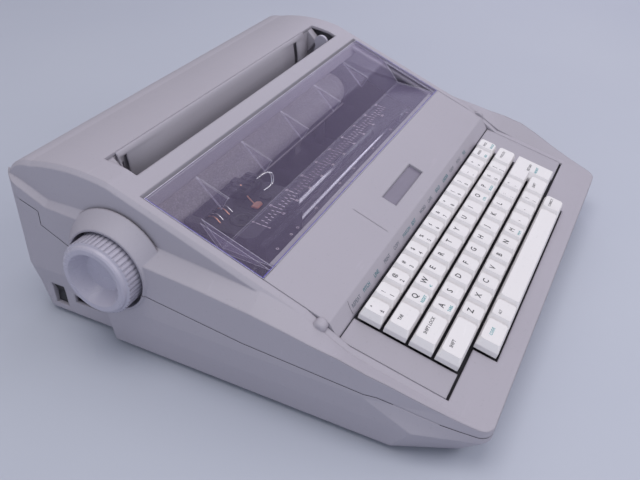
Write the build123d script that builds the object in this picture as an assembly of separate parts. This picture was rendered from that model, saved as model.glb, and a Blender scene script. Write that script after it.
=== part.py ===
from build123d import *
from math import atan2, cos, degrees, hypot, pi, radians, sin, tan
import os

# Electric typewriter with a display, a clear cover and a platen knob on its left side.
# Millimetres. +X is the typist's right, +Y points to the rear, +Z is up.
# All sizes are counted from the middle plane of the case. The finished parts are then set
# to one side, so that the origin lies on the table under the middle of the whole machine.

# Case: its widest half, and how far the other levels stand inside it
case_half = 198.5
crease_inset = 2.0
bottom_inset = 6.0
rear_inset = 9.5
rear_bottom_inset = 14.5
front_inset = 16.0
front_bottom_inset = 26.5
top_inset = 14.5
rail_width = 9.2
front_taper_low = 46.0
front_taper_high = 80.0
front_undercut = 15.0
rear_undercut = 10.0
front_corner_radius = 11.0
rear_corner_radius = 14.0
wall = 2.6

# Case: places along the side view, each counted from the one before it
case_front_y = -181.5
keys_plane_back = 98.0
hinge_line_back = 18.0
panel_depth = 48.0
ridge_back = 55.8
window_foot_depth = 15.6
bar_back = 38.2
bar_depth = 13.0
platen_back = 4.0
slot_back = 23.0
crest_start_back = 3.5
crest_back = 13.5
crest_end_back = 47.5
rear_back = 96.0

# Case: heights in the side view
foot_height = 5.0
crease_height = 27.0
waist_height = 45.0
lip_height = 36.4
keyboard_tilt = 13.5
keys_rise = 10.573
hinge_line_rise = 8.951
rail_blend = 16.0
cover_slope = 20.9
crest_drop = 9.25
rear_shoulder_drop = 4.6
rear_corner_drop = 28.6
rear_corner_round = 6.0

# Side ledge: distance behind the front edge, and the heights above the front lip
# of its inner ridge and of its outer shoulder
ledge_stations = (
    (0.0, 0.0, 0.0),
    (30.5, 7.3, 12.4),
    (46.5, 11.2, 18.5),
    (63.5, 15.2, 24.7),
    (81.5, 19.5, 29.4),
    (98.5, 24.5, 33.4),
    (116.5, 34.5, 35.6),
    (132.0, 42.9, 38.4),
    (161.5, 53.4, 43.1),
    (203.5, 58.8, 48.0),
    (242.5, 62.9, 51.4),
    (285.5, 76.6, 50.4),
    (333.0, 73.6, 60.5),
    (355.0, 83.0, 72.0),
    (371.0, 87.0, 80.4),
)
shoulder_bevel = 3.0

# Parting line between the two case halves: distance behind the front edge, and height
parting_line = (
    (-8.5, 29.0),
    (31.5, 37.0),
    (71.5, 47.8),
    (117.5, 50.5),
    (167.5, 53.5),
    (243.5, 63.5),
)
parting_level_back = 42.5
parting_step_back = 65.0
parting_step_rise = 11.5
parting_step_height = 11.5
parting_rear_rise = 32.5

# Keys and keyboard deck, measured in the keyboard plane
key_pitch = 19.05
keys_left_x = -149.65
keys_rear_edge = 7.5
key_rows = 15.0
deck_drop = 10.2
deck_thickness = 2.2
row_gap = 2.2
column_gap = 0.55
cap_skirt_low = 9.0
cap_skirt_high = 5.0
cap_side_slope = 2.7
cap_front_slope = 1.4
cap_rear_slope = 1.0
cap_corner = 1.6
cap_dish = 0.7
cap_wall = 1.4
cap_roof = 4.4
stem_side = 5.0
stem_low = 19.5
stem_clearance = 0.3
key_plate_top = 13.6
key_plate_thickness = 2.0
opening_margin = 0.7

# Cover opening, print window and paper slot
seam = 0.6
frame_front_gap = 2.0
bar_front_lip = 17.4
bar_rear_lip = 13.4
slot_inset = 14.8
chute_rise = 23.5
chute_notch_insets = (17.0, 42.0)
chute_block_width = 9.0
exit_gap = 3.0
clear_thickness = 2.0
clear_joint = 0.3
clear_seat = 6.0
window_left_inset = 14.8
window_right_inset = 6.8
window_drop = 18.64
clear_flange_depth = 7.0
fin_pitch = 63.0
fin_count = 5
fin_width = 1.2
fin_length = 27.0
fin_depth = 11.0
fin_rake = 6.0

# Display window, strip and hinge of the front panel
display_left_x = -27.0
display_right_x = 35.0
display_front_back = 12.0
display_depth = 12.5
display_recess = 2.2
display_thickness = 3.4
ridge_round = 1.6
crease_x = -61.0
crease_width = 0.8
crease_depth = 0.4
crease_front_back = 5.5
crease_length = 29.0
hinge_pin_radius = 1.5
hinge_pin_length = 5.0
hinge_boss_radius = 4.6
hinge_boss_width = 7.5
hinge_axis_back = 4.5
hinge_axis_drop = 1.0

# Platen, knob, gears and rollers, round the platen axis
platen_drop = 63.1
platen_radius = 17.0
platen_end_gap = 2.0
shaft_radius = 4.0
running_clearance = 0.06
knob_stand_off = 14.5
knob_length = 23.5
knob_radius = 28.5
knob_face_radius = 26.0
knob_dish_radius = 19.0
knob_dish_depth = 11.0
knob_flutes = 48
knob_flute_depth = 0.8
pocket_clearance = 2.5
pocket_gap = 3.5
hood_length = 13.5
hood_outer_radius = 32.5
hood_inner_radius = 42.0
gear_module = 1.0
platen_gear_teeth = 60
pinion_teeth = 12
gear_width = 5.0
gear_backlash = 0.25
pinion_angle = 236.6
motor_radius = 13.0
motor_length = 24.0
motor_shaft_radius = 2.0
motor_bore_depth = 8.0
motor_gap = 1.5
roller_radius = 8.0
roller_shaft_radius = 2.5
roller_angle = -72.5
roller_gap = 0.3
roller_length = 32.0
roller_pitch = 70.0
roller_count = 4
roller_bracket_gap = 1.5
guide_gap = 3.5
guide_thickness = 1.2
guide_end_gap = 6.0

# Paper release lever
lever_inset = 13.0
lever_width = 3.0
lever_back = 9.5
lever_rise = 38.5
lever_pin_radius = 2.5
lever_hub_radius = 5.0
lever_tab_radius = 7.0
lever_reach = 14.0

# Metal frame, rails and carriage
plate_inset = 3.8
plate_thickness = 1.5
chassis_front_back = 19.5
chassis_rear_back = 30.5
chassis_rise = 22.5
chassis_stand = 3.0
main_rail_radius = 5.0
main_rail_ahead = 43.5
main_rail_drop = 45.5
front_rail_radius = 3.0
front_rail_ahead = 35.0
front_rail_rise = 30.0
carriage_inset = 60.0
carriage_half = 29.0
wheel_radius = 29.0
wheel_petals = 48
wheel_gap = 6.5
wheel_thickness = 1.0
wheel_motor_radius = 12.0
cassette_half = 38.0
cassette_rise = 2.9
cassette_height = 10.2
belt_ahead = 23.0
belt_rise = 7.9
belt_radius = 6.0
belt_width = 6.0
belt_thickness = 1.2
belt_inset = 21.0

# Fasteners, feet, switch and electrics
foot_radius = 9.0
foot_inset = 38.5
foot_front_back = 41.5
foot_rear_ahead = 39.5
screw_radius = 1.6
screw_head_radius = 3.4
screw_head_height = 2.2
boss_radius = 4.6
boss_split = 20.0
front_boss_inset = 18.0
front_boss_back = 61.5
rear_boss_inset = 32.5
rear_boss_ahead = 22.0
switch_ahead = 31.5
switch_z = 20.5
switch_width = 12.0
switch_height = 20.0
switch_depth = 9.0
switch_pivot_inset = 4.5
switch_angle = 14.0
side_vent_ahead = 27.0
side_vent_z = 22.0
side_vent_length = 24.0
side_vent_height = 8.0
cord_hole_inset = 48.5
cord_hole_z = 24.0
cord_hole_radius = 4.5
board_thickness = 1.6
board_stand = 6.0
board_gap = 4.0
board_depth = 42.0
board_left_x = 10.0
board_right_x = 152.0
transformer_x = -61.0
transformer_half = 31.0
transformer_height = 44.0

# Derived places across the case
crease_half = case_half - crease_inset
bottom_half = case_half - bottom_inset
rear_half = case_half - rear_inset
rear_bottom_half = case_half - rear_bottom_inset
front_half = case_half - front_inset
front_bottom_half = case_half - front_bottom_inset
top_half = case_half - top_inset
ledge_inner_x = top_half - shoulder_bevel
opening_half = top_half - rail_width
slot_half = opening_half - slot_inset
platen_half = slot_half - platen_end_gap
guide_half = platen_half - guide_end_gap
plate_x = opening_half - plate_inset
belt_half = plate_x - belt_inset
window_left_x = -opening_half + window_left_inset
window_right_x = opening_half - window_right_inset
knob_outer_x = -case_half - knob_stand_off
knob_inner_x = knob_outer_x + knob_length
pocket_floor_x = knob_inner_x + pocket_gap
hood_outer_x = pocket_floor_x - hood_length
pocket_radius = knob_radius + pocket_clearance
lever_x = slot_half - lever_inset
carriage_x = -platen_half + carriage_inset
foot_x = case_half - foot_inset
front_boss_x = case_half - front_boss_inset
rear_boss_x = case_half - rear_boss_inset
switch_pivot_x = -rear_bottom_half + switch_pivot_inset
cord_hole_x = case_half - cord_hole_inset

# Derived places along the case
keys_plane_y = case_front_y + keys_plane_back
hinge_line_y = keys_plane_y + hinge_line_back
panel_rear_y = hinge_line_y + panel_depth
ridge_y = panel_rear_y + ridge_back
window_low_y = ridge_y - window_foot_depth
bar_front_y = ridge_y + bar_back
bar_rear_y = bar_front_y + bar_depth
platen_y = bar_rear_y + platen_back
slot_rear_y = platen_y + slot_back
crest_start_y = platen_y + crest_start_back
crest_y = slot_rear_y + crest_back
crest_end_y = slot_rear_y + crest_end_back
case_rear_y = platen_y + rear_back
clear_rear_y = bar_front_y - exit_gap
display_front_y = hinge_line_y + display_front_back
display_rear_y = display_front_y + display_depth
crease_front_y = hinge_line_y + crease_front_back
crease_rear_y = crease_front_y + crease_length
parting_rear_y = platen_y + parting_level_back
parting_step_y = platen_y + parting_step_back
lever_y = platen_y + lever_back
chassis_front_y = panel_rear_y + chassis_front_back
chassis_rear_y = platen_y + chassis_rear_back
main_rail_y = platen_y - main_rail_ahead
front_rail_y = main_rail_y - front_rail_ahead
wheel_y = platen_y - platen_radius - wheel_gap
belt_y = main_rail_y - belt_ahead
foot_front_y = case_front_y + foot_front_back
foot_rear_y = case_rear_y - foot_rear_ahead
front_boss_y = case_front_y + front_boss_back
rear_boss_y = case_rear_y - rear_boss_ahead
switch_y = case_rear_y - switch_ahead
side_vent_y = switch_y - side_vent_ahead

# Derived heights
slope = tan(radians(cover_slope))
deck_rise = tan(radians(keyboard_tilt))
keys_plane_z = lip_height + keys_plane_back * deck_rise + keys_rise
hinge_line_z = lip_height + (hinge_line_y - case_front_y) * deck_rise + hinge_line_rise
ridge_z = hinge_line_z + (ridge_y - hinge_line_y) * slope
window_low_z = ridge_z - window_drop
bar_front_low = hinge_line_z + (bar_front_y - hinge_line_y) * slope - bar_front_lip
bar_rear_low = hinge_line_z + (bar_rear_y - hinge_line_y) * slope - bar_rear_lip
crest_height = hinge_line_z + (crest_y - hinge_line_y) * slope - crest_drop
rear_shoulder_height = crest_height - rear_shoulder_drop
rear_corner_height = crest_height - rear_corner_drop
platen_z = crest_height - platen_drop
parting_step_low = platen_z + parting_step_rise
parting_step_high = parting_step_low + parting_step_height
parting_rear_height = platen_z + parting_rear_rise
chute_low = platen_z + chute_rise
lever_z = platen_z + lever_rise
chassis_top = platen_z + chassis_rise
chassis_floor_z = foot_height + wall + chassis_stand
main_rail_z = platen_z - main_rail_drop
front_rail_z = main_rail_z + front_rail_rise
cassette_low = platen_z + cassette_rise
cassette_high = cassette_low + cassette_height
belt_z = chassis_floor_z + plate_thickness + belt_rise

# Derived: the keyboard plane, its key rows, the cover hinge and the shared frame
keyboard = Plane(
    origin=(keys_left_x, keys_plane_y, keys_plane_z),
    x_dir=(1, 0, 0),
    z_dir=(0, -sin(radians(keyboard_tilt)), cos(radians(keyboard_tilt))),
)
keys_width = key_rows * key_pitch
row_edge = [keys_rear_edge - key_pitch * row for row in range(6)]
hinge_y = hinge_line_y + hinge_axis_back
hinge_z = hinge_line_z - hinge_axis_drop
strip_front_y = keys_plane_y + (keys_rear_edge + opening_margin) * cos(radians(keyboard_tilt)) \
    + deck_drop * sin(radians(keyboard_tilt)) + seam
frame_shift_x = -(knob_outer_x + case_half) / 2
frame_shift_y = -(case_front_y + case_rear_y) / 2
far = 260.0


def deck_z(y):
    return lip_height + (y - case_front_y) * deck_rise


def cover_z(y):
    return hinge_line_z + (y - hinge_line_y) * slope


def box(x0, x1, y0, y1, z0, z1):
    return Pos((x0 + x1) / 2, (y0 + y1) / 2, (z0 + z1) / 2) * Box(x1 - x0, y1 - y0, z1 - z0)


def deck_box(x0, x1, y0, y1, z0, z1):
    """A box in the keyboard plane; x is counted from the left end of the keys."""
    return keyboard * box(x0, x1, y0, y1, z0, z1)


def side_prism(points, x0, x1):
    """A prism along X from an outline of (y, z) points."""
    face = make_face(Plane.YZ.offset(x0) * Polyline(*points, close=True))
    return extrude(face, amount=x1 - x0, dir=(1, 0, 0))


def rod(radius, x0, x1, y, z):
    """A round bar along X."""
    return Pos((x0 + x1) / 2, y, z) * Rot(0, 90, 0) * Cylinder(radius, x1 - x0)


def along_y(radius, length, x, y, z):
    """A round bar along Y, round its middle."""
    return Pos(x, y, z) * Rot(90, 0, 0) * Cylinder(radius, length)


def upright(radius, z0, z1, x, y):
    return Pos(x, y, (z0 + z1) / 2) * Cylinder(radius, z1 - z0)


def polar(radius, angle, y=platen_y, z=platen_z):
    """The (y, z) place at a radius and angle round the platen axis, or round another one."""
    return (y + radius * cos(radians(angle)), z + radius * sin(radians(angle)))


# Case hull: plan outlines stacked upwards, cut by the top surfaces

def plan_outline(z, half_front, half_middle, half_rear, y_front, y_rear, taper, inset):
    corner = [
        (half_front - inset, y_front + inset),
        (half_middle - inset, y_front + taper),
        (half_middle - inset, platen_y + 7.0),
        (half_rear - inset, platen_y + 16.0),
        (half_rear - inset, y_rear - inset),
    ]
    mirrored = [(-x, y) for x, y in reversed(corner)]
    face = make_face(Plane.XY.offset(z) * Polyline(*corner, *mirrored, close=True))
    front = face.vertices().filter_by(lambda v: v.Y < y_front + inset + 1.0)
    face = fillet(front, front_corner_radius - inset)
    rear = face.vertices().filter_by(lambda v: v.Y > y_rear - inset - 1.0)
    return fillet(rear, rear_corner_radius - inset)


def plan_stack(inset):
    bottom_front = case_front_y + front_undercut
    bottom_rear = case_rear_y - rear_undercut
    levels = [
        plan_outline(foot_height + inset, front_bottom_half, bottom_half, rear_bottom_half,
                     bottom_front, bottom_rear, front_taper_low, inset),
        plan_outline(crease_height, front_half, crease_half, rear_bottom_half + 1.5,
                     case_front_y + 1.0, case_rear_y - rear_undercut / 2, front_taper_low, inset),
        plan_outline(waist_height, front_half, case_half, rear_half,
                     case_front_y, case_rear_y - rear_undercut / 4, front_taper_high, inset),
        plan_outline(crest_height + wall, front_half, crease_half, rear_half,
                     case_front_y, case_rear_y, front_taper_high, inset),
    ]
    return loft(levels, ruled=True)


def top_section(x, drop):
    """The side view of the top, at one place across the case."""
    low = -far
    front = (case_front_y - 20.0, deck_z(case_front_y - 20.0) - drop)
    blend_a = (hinge_line_y - rail_blend, deck_z(hinge_line_y - rail_blend) - drop)
    blend_b = (hinge_line_y + rail_blend, cover_z(hinge_line_y + rail_blend) - drop)
    crest_a = (crest_start_y, cover_z(crest_start_y) - drop)
    crest_b = (crest_y, crest_height - drop)
    crest_c = (crest_end_y, rear_shoulder_height - drop)
    corner_mid = (case_rear_y - rear_corner_round,
                  rear_corner_height + 2.6 * rear_corner_round - drop)
    corner_end = (case_rear_y, rear_corner_height - drop)
    behind = (case_rear_y, low)
    outline = [
        Polyline((case_front_y - 20.0, low), front, blend_a, blend_b, crest_a),
        ThreePointArc(crest_a, crest_b, crest_c),
        ThreePointArc(crest_c, corner_mid, corner_end),
        Polyline(corner_end, behind, (case_front_y - 20.0, low)),
    ]
    return make_face([Plane.YZ.offset(x) * edge for edge in outline])


def ledge_side(inset):
    """The stepped ledge outside the cover, on the right-hand side."""
    low = -far
    zero = lip_height - inset
    inner = [(case_front_y + back, zero + ridge) for back, ridge, shoulder in ledge_stations]
    outer = [(case_front_y + back, zero + shoulder) for back, ridge, shoulder in ledge_stations]
    closing = [(inner[-1][0], low), (inner[0][0], low)]
    inner_face = make_face(Plane.YZ.offset(ledge_inner_x - inset) * Polyline(*inner, *closing, close=True))
    outer_face = make_face(Plane.YZ.offset(case_half - inset) * Polyline(*outer, *closing, close=True))
    band = loft([inner_face, outer_face], ruled=True)
    return band + extrude(outer_face, amount=case_half, dir=(1, 0, 0))


def hull(inset):
    outer = top_half - inset
    sections = [
        top_section(-outer, inset + shoulder_bevel),
        top_section(-outer + shoulder_bevel, inset),
        top_section(outer - shoulder_bevel, inset),
        top_section(outer, inset + shoulder_bevel),
    ]
    top = loft(sections, ruled=True)
    right = ledge_side(inset)
    left = mirror(right, about=Plane.YZ)
    return plan_stack(inset) & (top + right + left)


def hood():
    length = pocket_floor_x - hood_outer_x
    cone = Cone(hood_inner_radius, hood_outer_radius, length)
    middle = (pocket_floor_x + hood_outer_x) / 2
    return Pos(middle, platen_y, platen_z) * Rot(0, -90, 0) * cone


def case_shell():
    outer = hull(0.0) + (hood() & box(-far, 0, -far, far, platen_z - 40.0, far))
    pocket_back = rod(pocket_radius + wall, -far, pocket_floor_x + wall, platen_y, platen_z)
    inner = hull(wall) - pocket_back
    pocket = rod(pocket_radius, -far, pocket_floor_x, platen_y, platen_z)
    shaft_hole = rod(shaft_radius + 1.0, -far, -plate_x, platen_y, platen_z)
    return outer - inner - pocket - shaft_hole


def above_parting():
    axis_points = [
        (platen_y - 10.0, platen_z),
        (platen_y + 10.0, platen_z),
        (parting_rear_y, platen_z + 0.5),
        (parting_step_y, parting_step_low),
        (parting_step_y, parting_step_high),
        (case_rear_y - 4.0, parting_rear_height),
        (far, parting_rear_height),
        (far, far),
        (-far, far),
        (-far, parting_line[0][1]),
    ]
    line = [(case_front_y + back, height) for back, height in parting_line]
    return side_prism([*line, *axis_points], -far, far)


def build_upper_case(shell):
    case = shell & above_parting()
    half = opening_half
    keys_opening = deck_box(-half - keys_left_x, half - keys_left_x,
                            row_edge[4] - frame_front_gap, 40.0, -40.0, 60.0)
    row_left = 1.5 * key_pitch - opening_margin
    row_right = 12.75 * key_pitch + opening_margin
    last_row = deck_box(row_left, row_right, row_edge[5] - opening_margin,
                        row_edge[4], -40.0, 60.0)
    window = box(-half, half, hinge_line_y - 5.0, bar_front_y, 0, far)
    slot = box(-slot_half, slot_half, bar_rear_y, slot_rear_y, chute_low, far)
    case = case - keys_opening - last_row - window - slot
    bar_half = half + 3.0
    front_face = side_prism([(bar_front_y, bar_front_low), (bar_front_y, cover_z(bar_front_y)),
                             (bar_front_y + wall, cover_z(bar_front_y)),
                             (bar_front_y + wall, bar_front_low)], -bar_half, bar_half)
    rear_top = cover_z(bar_rear_y) - wall
    rear_face = box(-slot_half - wall, slot_half + wall, bar_rear_y - wall, bar_rear_y,
                    bar_rear_low, rear_top)
    chute_top = crest_height - wall - 1.0
    chute = box(-slot_half, slot_half, slot_rear_y, slot_rear_y + wall, chute_low, chute_top)
    for x in (-slot_half + chute_notch_insets[0], slot_half - chute_notch_insets[1]):
        notch = box(x - 2.5, x + 2.5, slot_rear_y - 1.0, slot_rear_y + wall + 1.0,
                    chute_low + 8.0, crest_height - 12.0)
        chute = chute - notch
    for x in (-slot_half, slot_half - chute_block_width):
        wedge = side_prism([(slot_rear_y, crest_height - 3.0), (slot_rear_y, crest_height - 26.0),
                            (slot_rear_y - 9.0, crest_height - 12.0)], x, x + chute_block_width)
        chute = chute + wedge
    ends_top = cover_z(bar_front_y) - wall
    ends = box(-slot_half - wall, -slot_half, bar_front_y, slot_rear_y + wall, bar_front_low, ends_top)
    ends = ends + mirror(ends, about=Plane.YZ)
    lever_pin = rod(lever_pin_radius, lever_x - lever_width, slot_half, lever_y, lever_z)
    case = case + front_face + rear_face + chute + ends + lever_pin + cover_ledges() + hinge_bosses()
    case = case - rod(hinge_pin_radius + running_clearance, -opening_half - hinge_pin_length - 0.5,
                      opening_half + hinge_pin_length + 0.5, hinge_y, hinge_z)
    for x, y in boss_places():
        post = upright(boss_radius, boss_split, crest_height, x, y) & hull(wall * 0.5)
        case = case + (post & above_floor(boss_split))
    for x, y in boss_places():
        case = case - upright(screw_radius, 0.0, boss_split + 14.0, x, y)
    return case


def boss_places():
    return [(side * x, y) for side in (-1, 1)
            for x, y in ((front_boss_x, front_boss_y), (rear_boss_x, rear_boss_y))]


def above_floor(z):
    return box(-far, far, -far, far, z, far)


def cover_ledges():
    """Narrow steps under the edges of the cover, on both sides of its opening."""
    y0 = hinge_line_y + 14.0
    y1 = bar_front_y
    drop = clear_flange_depth + 0.3
    points = [(y0, cover_z(y0) - drop), (y1, cover_z(y1) - drop),
              (y1, cover_z(y1) - drop - wall), (y0, cover_z(y0) - drop - wall)]
    right = side_prism(points, opening_half - 3.0, top_half - 1.0)
    return right + mirror(right, about=Plane.YZ)


def build_lower_case(shell):
    case = shell - above_parting()
    floor_top = foot_height + wall
    for x, y in boss_places():
        case = case + (upright(boss_radius, foot_height, boss_split, x, y) & hull(wall * 0.5))
    for x, y in key_posts():
        top = upright(4.0, floor_top - 1.0, far, x, y)
        under_plate = deck_box(-far, far, -far, far, -far, -key_plate_top - key_plate_thickness)
        case = case + (top & under_plate)
    for x, y in chassis_posts():
        case = case + upright(5.0, floor_top - 1.0, chassis_floor_z, x, y)
    for x, y in boss_places():
        case = case - upright(screw_radius, 0.0, boss_split + 1.0, x, y)
        case = case - upright(screw_head_radius + 0.3, 0.0, foot_height + screw_head_height, x, y)
    housing = box(-rear_bottom_half - 3.0, -rear_bottom_half + switch_depth + 2.0,
                  switch_y - switch_width / 2 - 2.0, switch_y + switch_width / 2 + 2.0,
                  switch_z - switch_height / 2 - 2.0, switch_z + switch_height / 2 + 2.0) & hull(0.0)
    hole = box(-far, -rear_bottom_half + switch_depth, switch_y - switch_width / 2,
               switch_y + switch_width / 2, switch_z - switch_height / 2, switch_z + switch_height / 2)
    pivot = Pos(switch_pivot_x, switch_y, switch_z) * Rot(90, 0, 0) * Cylinder(1.5, switch_width + 3.0)
    case = (case + housing) - hole - pivot
    vent = side_prism([(side_vent_y - side_vent_length / 2, side_vent_z - side_vent_height / 2),
                       (side_vent_y + side_vent_length / 2, side_vent_z - side_vent_height / 2),
                       (side_vent_y + side_vent_length / 2, side_vent_z + side_vent_height / 2)],
                      -far, -rear_bottom_half + 12.0)
    cord_hole = Pos(cord_hole_x, case_rear_y, cord_hole_z) * Rot(90, 0, 0)
    cord_hole = cord_hole * Cylinder(cord_hole_radius, 2 * rear_corner_radius)
    return case - vent - cord_hole


def key_posts():
    return [(x, y) for x in (-opening_half + 16.8, 0.0, opening_half - 24.8)
            for y in (case_front_y + 21.5, keys_plane_y - 0.5)]


def chassis_posts():
    return [(side * (plate_x - 21.0), y) for side in (-1, 1)
            for y in (chassis_front_y + 18.0, chassis_rear_y - 12.0)]


# Keys

def frustum(outline, top_outline):
    skirt = extrude(outline, amount=cap_skirt_low - cap_skirt_high)
    upper = loft([Pos(0, 0, cap_skirt_low - cap_skirt_high) * outline, top_outline], ruled=True)
    return skirt + upper


def cut_corners(x0, x1, y0, y1, c):
    return make_face(Polyline((x0 + c, y0), (x1 - c, y0), (x1, y0 + c), (x1, y1 - c),
                              (x1 - c, y1), (x0 + c, y1), (x0, y1 - c), (x0, y0 + c), close=True))


def keycap(left, right, rear, front, dished=True, stems=(0.5,)):
    """One keycap in keyboard coordinates, from its cell's edges."""
    x0 = left + column_gap / 2
    x1 = right - column_gap / 2
    y0 = front + row_gap / 2
    y1 = rear - row_gap / 2
    base = Pos(0, 0, -cap_skirt_low) * cut_corners(x0, x1, y0, y1, 0.4)
    top = cut_corners(x0 + cap_side_slope, x1 - cap_side_slope,
                      y0 + cap_front_slope, y1 - cap_rear_slope, cap_corner)
    cap = frustum(base, top)
    if dished:
        span = x1 - x0 - 2 * cap_side_slope
        radius = span * span / (8 * cap_dish) + cap_dish / 2
        dish = Pos((x0 + x1) / 2, (y0 + y1) / 2, radius - cap_dish) * Rot(90, 0, 0)
        cap = cap - dish * Cylinder(radius, 3 * key_pitch)
    cap = cap - box(x0 + cap_wall, x1 - cap_wall, y0 + cap_wall, y1 - cap_wall, -cap_skirt_low, -cap_roof)
    for share in stems:
        x = x0 + (x1 - x0) * share
        cap = cap + stem(x, (y0 + y1) / 2)
    return keyboard * cap


def stem(x, y):
    half = stem_side / 2
    return box(x - half, x + half, y - half, y + half, -stem_low, -cap_roof + 0.5)


def return_key(left, step, right):
    """The L-shaped key that spans two rows."""
    g = column_gap / 2
    x0, x1, xs = left + g, right - g, step + g
    y1 = row_edge[2] - row_gap / 2
    ys = row_edge[3] + row_gap / 2
    y0 = row_edge[4] + row_gap / 2

    def outline(side, front, rear):
        return make_face(Polyline((x0 + side, y1 - rear), (x0 + side, ys + front), (xs + side, ys + front),
                                  (xs + side, y0 + front), (x1 - side, y0 + front), (x1 - side, y1 - rear),
                                  close=True))

    base = Pos(0, 0, -cap_skirt_low) * outline(0, 0, 0)
    cap = frustum(base, outline(cap_side_slope, cap_front_slope, cap_rear_slope))
    inner = extrude(Pos(0, 0, -cap_skirt_low) * outline(cap_wall, cap_wall, cap_wall),
                    amount=cap_skirt_low - cap_roof)
    cap = cap - inner + stem((xs + x1) / 2, (row_edge[2] + row_edge[3]) / 2)
    return keyboard * cap


def cell(row, left, width, **kind):
    return keycap(left * key_pitch, (left + width) * key_pitch, row_edge[row], row_edge[row + 1], **kind)


def key_nodes():
    """Each node's keys, as a list of solids."""
    nodes = {}
    top_row = [cell(0, i, 1.0) for i in range(15)]
    nodes["number_keys"] = top_row[:13]
    nodes["key_tab"] = [cell(1, 0, 1.5)]
    for i, letter in enumerate("qwertyuiop"):
        nodes[f"key_{letter}"] = [cell(1, 1.5 + i, 1.0)]
    symbols = [cell(1, 11.5, 1.0), cell(1, 12.5, 1.0)]
    nodes["key_shift_lock"] = [cell(2, 0, 1.75)]
    for i, letter in enumerate("asdfghjkl"):
        nodes[f"key_{letter}"] = [cell(2, 1.75 + i, 1.0)]
    symbols = symbols + [cell(2, 10.75, 1.0), cell(2, 11.75, 1.0)]
    nodes["key_return"] = [return_key(12.75 * key_pitch, 13.75 * key_pitch, 15 * key_pitch)]
    shifts = [cell(3, 0, 2.25), cell(3, 12.25, 1.5)]
    for i, letter in enumerate("zxcvbnm"):
        nodes[f"key_{letter}"] = [cell(3, 2.25 + i, 1.0)]
    symbols = symbols + [cell(3, 9.25 + i, 1.0) for i in range(3)]
    nodes["symbol_keys"] = symbols
    nodes["modifier_keys"] = shifts + [cell(4, 1.5, 1.5), cell(4, 3.0, 1.25)]
    nodes["space_bar"] = [cell(4, 4.25, 7.25, dished=False, stems=(0.2, 0.8))]
    nodes["edit_keys"] = top_row[13:] + [cell(1, 13.5, 1.5), cell(4, 11.5, 1.25)]
    return nodes


def stem_places():
    """The middle of every key stem, in keyboard coordinates."""
    rows = [
        (0, [(i, 1.0) for i in range(15)]),
        (1, [(0, 1.5)] + [(1.5 + i, 1.0) for i in range(12)] + [(13.5, 1.5)]),
        (2, [(0, 1.75)] + [(1.75 + i, 1.0) for i in range(11)]),
        (3, [(0, 2.25)] + [(2.25 + i, 1.0) for i in range(10)] + [(12.25, 1.5)]),
        (4, [(1.5, 1.5), (3.0, 1.25), (11.5, 1.25)]),
    ]
    places = []
    for row, cells in rows:
        y = (row_edge[row] + row_edge[row + 1]) / 2
        places += [((left + width / 2) * key_pitch, y) for left, width in cells]
    step = (13.75 * key_pitch + 15 * key_pitch) / 2
    places.append((step, (row_edge[2] + row_edge[3]) / 2))
    bar_left = 4.25 * key_pitch + column_gap / 2
    bar_width = 7.25 * key_pitch - column_gap
    y = (row_edge[4] + row_edge[5]) / 2
    places += [(bar_left + bar_width * share, y) for share in (0.2, 0.8)]
    return places


def build_keyboard_frame():
    """The two deck pieces beside the top four rows, each on its own posts."""
    top = -deck_drop
    low = top - deck_thickness
    front = row_edge[4]
    rear = keys_rear_edge + opening_margin
    edges = ((-opening_half + seam - keys_left_x, -opening_margin),
             (keys_width + opening_margin, opening_half - seam - keys_left_x))
    pieces = []
    for x0, x1 in edges:
        piece = deck_box(x0, x1, front, rear, low, top)
        rim = x1 - deck_thickness if x0 < 0 else x0
        piece = piece + deck_box(rim, rim + deck_thickness, front, rear, -key_plate_top, low)
        for y in (front + 8.0, row_edge[1]):
            middle = (x0 + x1) / 2
            piece = piece + deck_box(middle - 3.0, middle + 3.0, y - 3.0, y + 3.0, -key_plate_top, low)
        pieces.append(piece)
    return pieces


def hinge_bosses():
    """Round bosses on the rails of the case that hold the hinge pins of the cover."""
    x1 = opening_half + hinge_boss_width
    radius = hinge_boss_radius
    boss = rod(radius, opening_half, x1, hinge_y, hinge_z)
    boss = fillet(boss.edges().filter_by(GeomType.CIRCLE).sort_by(Axis.X)[-1], radius * 0.6)
    return boss + mirror(boss, about=Plane.YZ)


def build_key_plate():
    """The plate that guides the key stems."""
    left = -opening_half + seam - keys_left_x
    right = opening_half - seam - keys_left_x
    plate = deck_box(left, right, row_edge[5] - 4.0, keys_rear_edge + 1.0,
                     -key_plate_top - key_plate_thickness, -key_plate_top)
    half = stem_side / 2 + stem_clearance
    holes = [deck_box(x - half, x + half, y - half, y + half, -30.0, 0.0) for x, y in stem_places()]
    return plate - holes


# Cover: the front panel with the display, and the clear window behind it

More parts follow.
